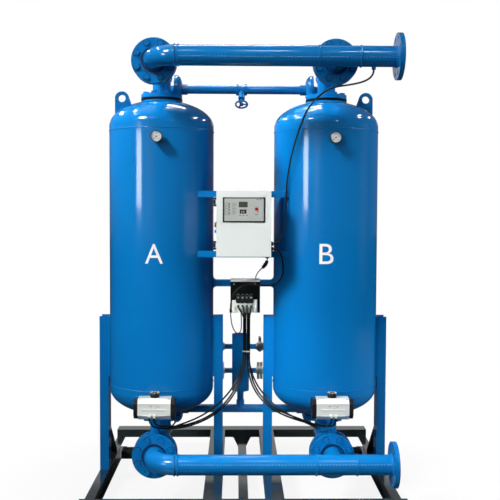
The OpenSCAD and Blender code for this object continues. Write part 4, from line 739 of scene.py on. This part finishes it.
# Boxes: low corner, high corner and chamfer
MANIFOLD_BOXES = (((-37, -58, 886), (49, -26, 910), 0.8), ((-37, -53, 862), (49, -26, 887), 0.8))
END_BLOCKS = (((-56, -57, 862), (-37.5, -26, 922), 1.5), ((-53, -62, 868), (-40.5, -56, 898), 1.2),
              ((49.5, -57, 862), (68, -26, 925), 1.5), ((52.5, -62, 868), (65, -56, 898), 1.2))
PLUG_BOXES = (((-68, -54, 862), (-56.3, -26, 880), 1.5),)
HOOK_BOXES = (((-63, -42, 1023.6), (81, 21, 1026), 0.6), ((-63, -42, 1013.2), (81, -39.6, 1025.3), 0.6))
# Boxes of one pilot valve, with X from its middle: its coil, connector and lever, and its pale tags
COIL_BOXES = (((-9, -66, 910.1), (9, -26, 944), 1.6), ((-7, -62, 943.5), (7, -34, 952), 1.2),
              ((-3, -68.5, 916), (3, -65, 924), 0.8))
TOP_TAG = ((-4, -58, 951.6), (4, -40, 952.5), 0.2)
NARROW_TAG = ((-2.5, -66.6, 934), (2.5, -65.6, 941), 0.2)
WIDE_TAG = ((-5, -66.6, 934), (5, -65.6, 941), 0.2)
# Round parts on the manifold's front: Y and Z, radius, length and chamfer
BOSS_AT, BOSS = (-57.7, 899), (3.2, 2, 0.5)
PORT_AT, PORT_NUT = (-57.7, 895), (6.2, 5, 0.8)
# A port elbow's bends: share of the way to its tube, Y and Z
ELBOW_BENDS = ((0, -56, 895), (0, -63, 894), (0.08, -67, 889), (0.25, -68, 880), (0.5, -67, 868),
               (0.75, -62, 855), (0.92, -54, 843), (1, -47, 833))
# Screws by X and Z, the plate's front, and a screw head's radius and distance out of it
PLATE_SCREWS, PLATE_FRONT = ((-47, 1000), (57, 1000)), -26
PLATE_SCREW = ((4.6, -0.2), (4.6, 0.8), (3.6, 2.2), (1.8, 2.8), (0.5, 2.9))


def add_pilot_valves():
    """Manifold of the pilot valves in place of its plain solid, and the pieces on it."""
    manifold, blocks, coils, tags, plug = (bmesh.new() for _ in range(5))
    add_boxes(manifold, MANIFOLD_BOXES)
    add_boxes(blocks, END_BLOCKS)
    add_boxes(plug, PLUG_BOXES)
    places = [BANK_X + (i - 1.5) * PILOT_PITCH for i in range(len(PORT_TUBES))]
    for i, at in enumerate(places):
        add_front_rod(manifold, (at, *BOSS_AT), BOSS, sides=20)
        add_boxes(coils, COIL_BOXES, (at, 0, 0))
        add_boxes(tags, (WIDE_TAG if i % 2 else NARROW_TAG, TOP_TAG), (at, 0, 0))
    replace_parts(add_piece("pilot_manifold", manifold, ALUMINIUM), "solenoid_bank")
    add_piece("bank_end_blocks", blocks, IVORY)
    add_piece("pilot_coils", coils, BLACK)
    add_piece("pilot_tags", tags, FAINT)
    add_piece("bank_plug", plug, BLACK)
    for node, at in zip(PORT_TUBES, places):
        add_port_elbow(node + "_elbow", at, ROUTES[node][0][0])


def add_port_elbow(name, port_x, tube_x):
    """Curved black fitting from a port on the manifold's front down to its tube."""
    points = smooth_route([Vector((port_x + (tube_x - port_x) * share, y, z)) for share, y, z in ELBOW_BENDS])
    shape = bmesh.new()
    add_sweep(shape, points, [TUBE_DIAMETER / 2] * len(points))
    add_front_rod(shape, (port_x, *PORT_AT), PORT_NUT, sides=24)
    add_piece(name, shape, BLACK)


def add_plate_trim():
    """Pale hooked strip over the beam, and the plate's screws."""
    hook, screws = bmesh.new(), bmesh.new()
    add_boxes(hook, HOOK_BOXES)
    for at_x, at_z in PLATE_SCREWS:
        add_turned(screws, Vector((at_x, PLATE_FRONT, at_z)), -AXIS_Y, PLATE_SCREW, sides=24)
    add_piece("plate_hook", hook, PALE)
    add_piece("plate_screws", screws, STEEL)


# Actuators, in millimetres from the middle of each

ACTUATOR_Y, ACTUATOR_Z = -352, 464.5
# Boxes: low corner, high corner and chamfer
RIB_BOXES = [((-54, y, rise - tall / 2), (54, y + 2.8, rise + tall / 2), 0.7)
             for y in (-49.3, 46.5) for rise, tall in ((0, 9), (27, 3), (-27, 3))]
# Plain printed bars on the front: low X, high X, low Z, high Z
FACE_BARS = ((-20, -7, 15, 19), (-18, -11, 9, 11), (4, 9, 16, 20), (14, 26, 15, 17), (14, 22, 11, 13),
             (0, 12, 8, 9.5))
FACE_BOXES = [((low_x, -47.8, low_z), (high_x, -47.2, high_z), 0.1)
              for low_x, high_x, low_z, high_z in FACE_BARS]
# Profiles of the screws on the ends and the smaller ones on top: radius and distance out
CAP_SCREW = ((4.6, -0.5), (4.6, 3.2), (4.0, 4.0), (2.2, 4.0), (2.2, 2.2), (0.4, 2.2))
TOP_SCREW = [(radius * 0.8, out * 0.7) for radius, out in CAP_SCREW]
CAP_END, SCREW_PLACES = 74, (-30, 30)
TOP_SCREW_X, TOP_SCREW_Z = 64.5, 44.1
INDICATOR_TOP, INDICATOR_MARKS = 69.8, 8
MARK_BOXES = (((14, -2.6, -1.6), (20.7, 2.6, 1.2), 0.8),)


def add_actuator_trim(name, centre_x, body):
    """Ribs, prints and cap screws of an actuator, and the pale marks on its turning indicator."""
    ribs, prints, screws, marks = (bmesh.new() for _ in range(4))
    middle = Vector((centre_x, ACTUATOR_Y, ACTUATOR_Z))
    add_boxes(ribs, RIB_BOXES, middle)
    add_boxes(prints, FACE_BOXES, middle)
    for end in (-1, 1):
        for side in SCREW_PLACES:
            spot = middle + Vector((end * TOP_SCREW_X, side, TOP_SCREW_Z))
            add_turned(screws, spot, AXIS_Z, TOP_SCREW, sides=20)
            for rise in SCREW_PLACES:
                spot = middle + Vector((end * CAP_END, side, rise))
                add_turned(screws, spot, AXIS_X * end, CAP_SCREW, sides=20)
    top = Matrix.Translation(middle + Vector((0, 0, INDICATOR_TOP)))
    for i in range(INDICATOR_MARKS):
        turn = Matrix.Rotation(2 * math.pi * i / INDICATOR_MARKS, 4, "Z")
        before = set(marks.verts)
        add_boxes(marks, MARK_BOXES)
        made = [vert for vert in marks.verts if vert not in before]
        bmesh.ops.transform(marks, matrix=top @ turn, verts=made)
    add_piece(name + "_ribs", ribs, ALUMINIUM)
    add_piece(name + "_face_marks", prints, FAINT)
    add_piece(name + "_cap_screws", screws, STEEL)
    add_piece(name + "_marks", marks, IVORY, body)


# Pieces on the cords, in millimetres

TIE_Z, TIE_TALL, TIE_WALL, TIE_PLAY = 669, 5, 1.2, 0.3
# The tie's lock, from the middle of its inner front: low corner, high corner and chamfer
TIE_LOCK = (((3, -6, -1.5), (11, -0.8, 6.5), 1),)
TIED_TUBES = PORT_TUBES + ("exhaust_tube_a", "exhaust_tube_b")
# The connector's first and last points on its route, the steps between two points of it, and its
# radius at shares of its length
CONNECTOR_SPAN, CONNECTOR_STEPS = (1, 5), 12
CONNECTOR_SHAPE = ((0, 2.7), (0.06, 6), (0.12, 8.2), (0.44, 8.2), (0.46, 9.6), (0.54, 9.6), (0.56, 8.2),
                   (0.88, 8.2), (0.94, 6), (1, 2.7))


def route_at_height(node, height):
    """Where a cord's route first comes down to a height."""
    for high, low in zip(ROUTES[node], ROUTES[node][1:]):
        if high[2] >= height >= low[2]:
            share = (high[2] - height) / (high[2] - low[2])
            return [a + (b - a) * share for a, b in zip(high, low)]
    raise ValueError(node)


def add_tie():
    """Band round the bundle of tubes, with its lock."""
    spots = [route_at_height(node, TIE_Z) for node in TIED_TUBES]
    room = TUBE_DIAMETER / 2 + TIE_PLAY
    outlines = []
    for reach in (room + TIE_WALL, room):
        spans = [(min(s[k] for s in spots) - reach, max(s[k] for s in spots) + reach) for k in (0, 1)]
        outlines.append(rounded_outline(*spans[0], *spans[1], reach))
    outer, inner = outlines
    shape = bmesh.new()
    levels = ((outer, 0), (outer, TIE_TALL), (inner, TIE_TALL), (inner, 0))
    rings = [[shape.verts.new((x, y, TIE_Z + z)) for x, y in outline] for outline, z in levels]
    join_rings(shape, rings, closed=True)
    (low_x, high_x), (front, _) = spans
    add_boxes(shape, TIE_LOCK, ((low_x + high_x) / 2, front, TIE_Z))
    add_piece("tube_tie", shape, IVORY)


def add_connector():
    """Two-part inline connector on the supply cable, bent with it."""
    low, high = (place * CONNECTOR_STEPS for place in CONNECTOR_SPAN)
    points = smooth_route([Vector(p) for p in ROUTES["supply_cable"]], CONNECTOR_STEPS)[low:high + 1]
    radii = []
    for i in range(len(points)):
        share = i / (len(points) - 1)
        for (start, first), (end, last) in zip(CONNECTOR_SHAPE, CONNECTOR_SHAPE[1:]):
            if start <= share <= end:
                radius = first + (last - first) * (share - start) / (end - start)
        radii.append(radius)
    shape = bmesh.new()
    add_sweep(shape, points, radii)
    return add_piece("supply_connector", shape, BLACK)


# Stage

FLOOR_SIZE, FLOOR_Z = 40.0, -0.5 * MM
# Where the floor starts and ends its fade to white, its white before that, and the light it throws back
FLOOR_FADE, FLOOR_GLOW, FLOOR_BOUNCE = (0.5, 1.4), 0.88, (0.12, 0.13, 0.14, 1.0)
SKY_COLOUR, SKY_STRENGTH = (0.85, 0.92, 1.0, 1.0), 0.12
WHITE_COLOUR = (1.0, 1.0, 1.0, 1.0)
# The picture's width in pixels, and the lamps mirrored in the tower tops: where they show in the
# picture, across and down, and their width in metres
PICTURE = 500
GLINTS = {"vessel_a": ((135, 111, 0.9), (121, 113, 0.7), (175, 106, 1.2), (196, 117.5, 0.8), (204, 120, 0.5)),
          "vessel_b": ((314, 109.5, 1.2), (299, 117.5, 0.6), (286, 119, 0.8), (360, 117.5, 0.8),
                       (337, 121, 0.3))}
GLINT_DISTANCE, GLINT_TALL, GLINT_POWER, GLINT_SPREAD = 4.0, 0.12, 1.3, 40
# What a light shows on: matte surfaces, glossy ones or both
MATTE, GLOSS, BOTH = (True, False), (False, True), (True, True)
MIDDLE = (0.1, -0.2, 1.2)
# Lights: name, place, target, size, watts, spread in degrees and what they show on
LIGHTS = [
    ("key", (-4.94, -5.24, 6.69), MIDDLE, (2, 2), 25, 26, BOTH),
    ("front", (-3.5, -8.3, 2.3), MIDDLE, (2, 2), 5, 26, MATTE),
    ("streak", (-5.1, -4.8, 2.0), (0, -0.2, 1.4), (1.3, 1.05), 66, 180, GLOSS),
    ("fill", (5.6, -0.35, 2.0), (0.4, 0, 1.1), (2, 3), 200, 180, MATTE),
    ("overhead", (-0.6, 0.6, 4.6), (0, 0, 0.9), (3, 2), 14, 180, BOTH),
    ("rear_left", (-3.0, 2.4, 1.8), (0, 0, 1.1), (1, 2.2), 6, 180, MATTE),
    ("rear_wall", (0, 20, 5.6), (0, 0, 0.2), (26, 2.4), 75, 180, BOTH),
    ("centre", (0, -3.9, 1.6), (0, 0.1, 0.62), (0.2, 0.2), 0.36, 11, MATTE),
    ("crown_a", (-3.52, 0.3, 4.4), (-0.52, -0.06, 1.8), (0.5, 0.5), 1.74, 11, MATTE),
    ("crown_b", (-2.71, 0.3, 4.4), (0.29, -0.06, 1.8), (0.5, 0.5), 1.74, 11, MATTE),
    ("right_leg", (2.6, -3.2, 1.2), (0.68, 0, 0.5), (0.2, 0.2), 0.2, 12, MATTE)]
LIGHTS += [("manifold_%d" % i, (x, -0.98, 2.9), (x, -0.54, 0.27), (0.2, 0.1), 0.22, 14, MATTE)
           for i, x in enumerate((-0.36, -0.04, 0.28, 0.6))]
LIGHTS += [("low_front", (-1.6, -2.4, 2.6), (0, -0.45, 0.4), (0.6, 0.4), 0.9, 26, BOTH)]
LAMPS = [("lamp_%d" % i, (-2.2 + 0.8 * i, -3.0, 4.2), (0, 0, 1.6), (0.4, 0.1), 9, 180, GLOSS)
         for i in range(6)]


def camera_axes():
    """The camera's right, up and forward directions."""
    level = math.cos(CAMERA_PITCH)
    forward = Vector((math.sin(CAMERA_YAW) * level, math.cos(CAMERA_YAW) * level, -math.sin(CAMERA_PITCH)))
    right = Vector((math.cos(CAMERA_YAW), -math.sin(CAMERA_YAW), 0))
    up = right.cross(forward)
    side = right * math.cos(CAMERA_ROLL) + up * math.sin(CAMERA_ROLL)
    top = up * math.cos(CAMERA_ROLL) - right * math.sin(CAMERA_ROLL)
    return side, top, forward


def add_camera():
    """Camera at the photograph's viewpoint."""
    side, top, forward = camera_axes()
    camera = bpy.data.cameras.new("photo_camera")
    camera.sensor_width = CAMERA_SENSOR
    camera.sensor_fit = "HORIZONTAL"
    camera.lens = CAMERA_LENS
    obj = new_object("photo_camera", camera)
    obj.matrix_world = Matrix.Translation(CAMERA_AT) @ Matrix((side, top, -forward)).transposed().to_4x4()
    bpy.context.scene.camera = obj


def add_light(name, at, target, size, power, spread, shows):
    """Area light aimed at a target."""
    light = bpy.data.lights.new(name, "AREA")
    light.shape = "RECTANGLE"
    light.size, light.size_y = size
    light.energy = power
    light.spread = math.radians(spread)
    obj = new_object(name, light)
    obj.location = at
    obj.rotation_euler = (Vector(target) - Vector(at)).to_track_quat("-Z", "Y").to_euler()
    obj.visible_diffuse, obj.visible_glossy = shows


def add_glint(name, node, across, down, wide):
    """Lamp that a tower's top head mirrors at a picture point."""
    low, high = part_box(node)
    radius = (high.x - low.x) / 2
    centre = Vector(((low.x + high.x) / 2, (low.y + high.y) / 2, high.z - PAD_RISE * MM - radius / 2))
    side, top, forward = camera_axes()
    pixel = CAMERA_SENSOR / CAMERA_LENS / PICTURE
    ray = (forward + (side * (across - PICTURE / 2) - top * (down - PICTURE / 2)) * pixel).normalized()
    # A head is half as high as its radius, so this makes it a ball
    stretch = Matrix.Diagonal((1, 1, 2))
    start, way = stretch @ (Vector(CAMERA_AT) - centre), stretch @ ray
    near = way.dot(start) ** 2 - way.length_squared * (start.length_squared - radius ** 2)
    hit = Vector(CAMERA_AT) + ray * (-way.dot(start) - math.sqrt(near)) / way.length_squared
    normal = (stretch @ stretch @ (hit - centre)).normalized()
    lamp = hit + ray.reflect(normal) * GLINT_DISTANCE
    add_light(name, lamp, hit, (wide, GLINT_TALL), GLINT_POWER * wide, GLINT_SPREAD, GLOSS)


def show_camera(tree, seen, other, output):
    """Shows one shader to the camera and another one to everything else."""
    path = tree.nodes.new("ShaderNodeLightPath")
    mixed = tree.nodes.new("ShaderNodeMixShader")
    wire(tree, (path, "Is Camera Ray", mixed, "Fac"), (other, 0, mixed, 1), (seen, 0, mixed, 2),
         (mixed, "Shader", tree.nodes[output], "Surface"))


def floor_material():
    """Pale floor that fades to white round the object, and throws little light back at it."""
    material = surface("pale_floor", (0.92, 0.92, 0.92), (0.94, 0.94, 0.94), (0.6, 0.7), patch=0.4)
    tree = material.node_tree
    add = tree.nodes.new
    place = add("ShaderNodeTexCoord")
    away = add("ShaderNodeVectorMath")
    away.operation = "LENGTH"
    fade = set_inputs(add("ShaderNodeMapRange"), From_Min=FLOOR_FADE[0], From_Max=FLOOR_FADE[1],
                      To_Min=FLOOR_GLOW)
    fade.interpolation_type = "SMOOTHSTEP"
    white = add("ShaderNodeEmission")
    faded = add("ShaderNodeMixShader")
    dull = set_inputs(add("ShaderNodeBsdfDiffuse"), Color=FLOOR_BOUNCE)
    wire(tree, (place, "Object", away, 0), (away, "Value", fade, "Value"), (fade, "Result", faded, "Fac"),
         (tree.nodes["Principled BSDF"], "BSDF", faded, 1), (white, "Emission", faded, 2))
    show_camera(tree, faded, dull, "Material Output")
    return material


def add_floor():
    """Floor under the skid."""
    shape = bmesh.new()
    bmesh.ops.create_grid(shape, x_segments=1, y_segments=1, size=FLOOR_SIZE)
    mesh = bpy.data.meshes.new("floor")
    shape.to_mesh(mesh)
    shape.free()
    floor = new_object("floor", mesh)
    floor.location.z = FLOOR_Z
    mesh.materials.append(floor_material())


def add_surroundings():
    """Plain white for the camera, and a faint blue light on the object."""
    world = bpy.data.worlds.new("studio")
    bpy.context.scene.world = world
    world.use_nodes = True
    tree = world.node_tree
    sky = set_inputs(tree.nodes["Background"], Color=SKY_COLOUR, Strength=SKY_STRENGTH)
    backdrop = set_inputs(tree.nodes.new("ShaderNodeBackground"), Color=WHITE_COLOUR, Strength=1.0)
    show_camera(tree, backdrop, sky, "World Output")
    bpy.context.scene.view_settings.view_transform = "Standard"


def add_lights():
    """Soft lights, and the lamps that the gloss shows."""
    for light in LIGHTS:
        add_light(*light)
    for node, spots in GLINTS.items():
        for i, spot in enumerate(spots):
            add_glint("%s_glint_%d" % (node, i), node, *spot)
    for lamp in LAMPS:
        add_light(*lamp)


dress_nodes()
add_camera()
for cord_node in ROUTES:
    add_cord(cord_node, [add_connector()] if cord_node == "supply_cable" else [])
for tower_node in ("vessel_a", "vessel_b"):
    add_tower(tower_node)
add_pipe_welds()
add_flange_faces()
add_pipe_seams()
add_neck_bands()
for gauge_name, gauge_spot in zip(("gauge_a", "gauge_b"), GAUGE_AT):
    add_gauge(gauge_name, *gauge_spot)
add_panel_face()
add_hinges()
add_glands()
add_side_fitting()
add_pilot_valves()
add_plate_trim()
add_actuator_trim("actuator_a", -TOWER_X, "disc_a")
add_actuator_trim("actuator_b", TOWER_X, "disc_b")
add_tie()
add_floor()
add_surroundings()
add_lights()
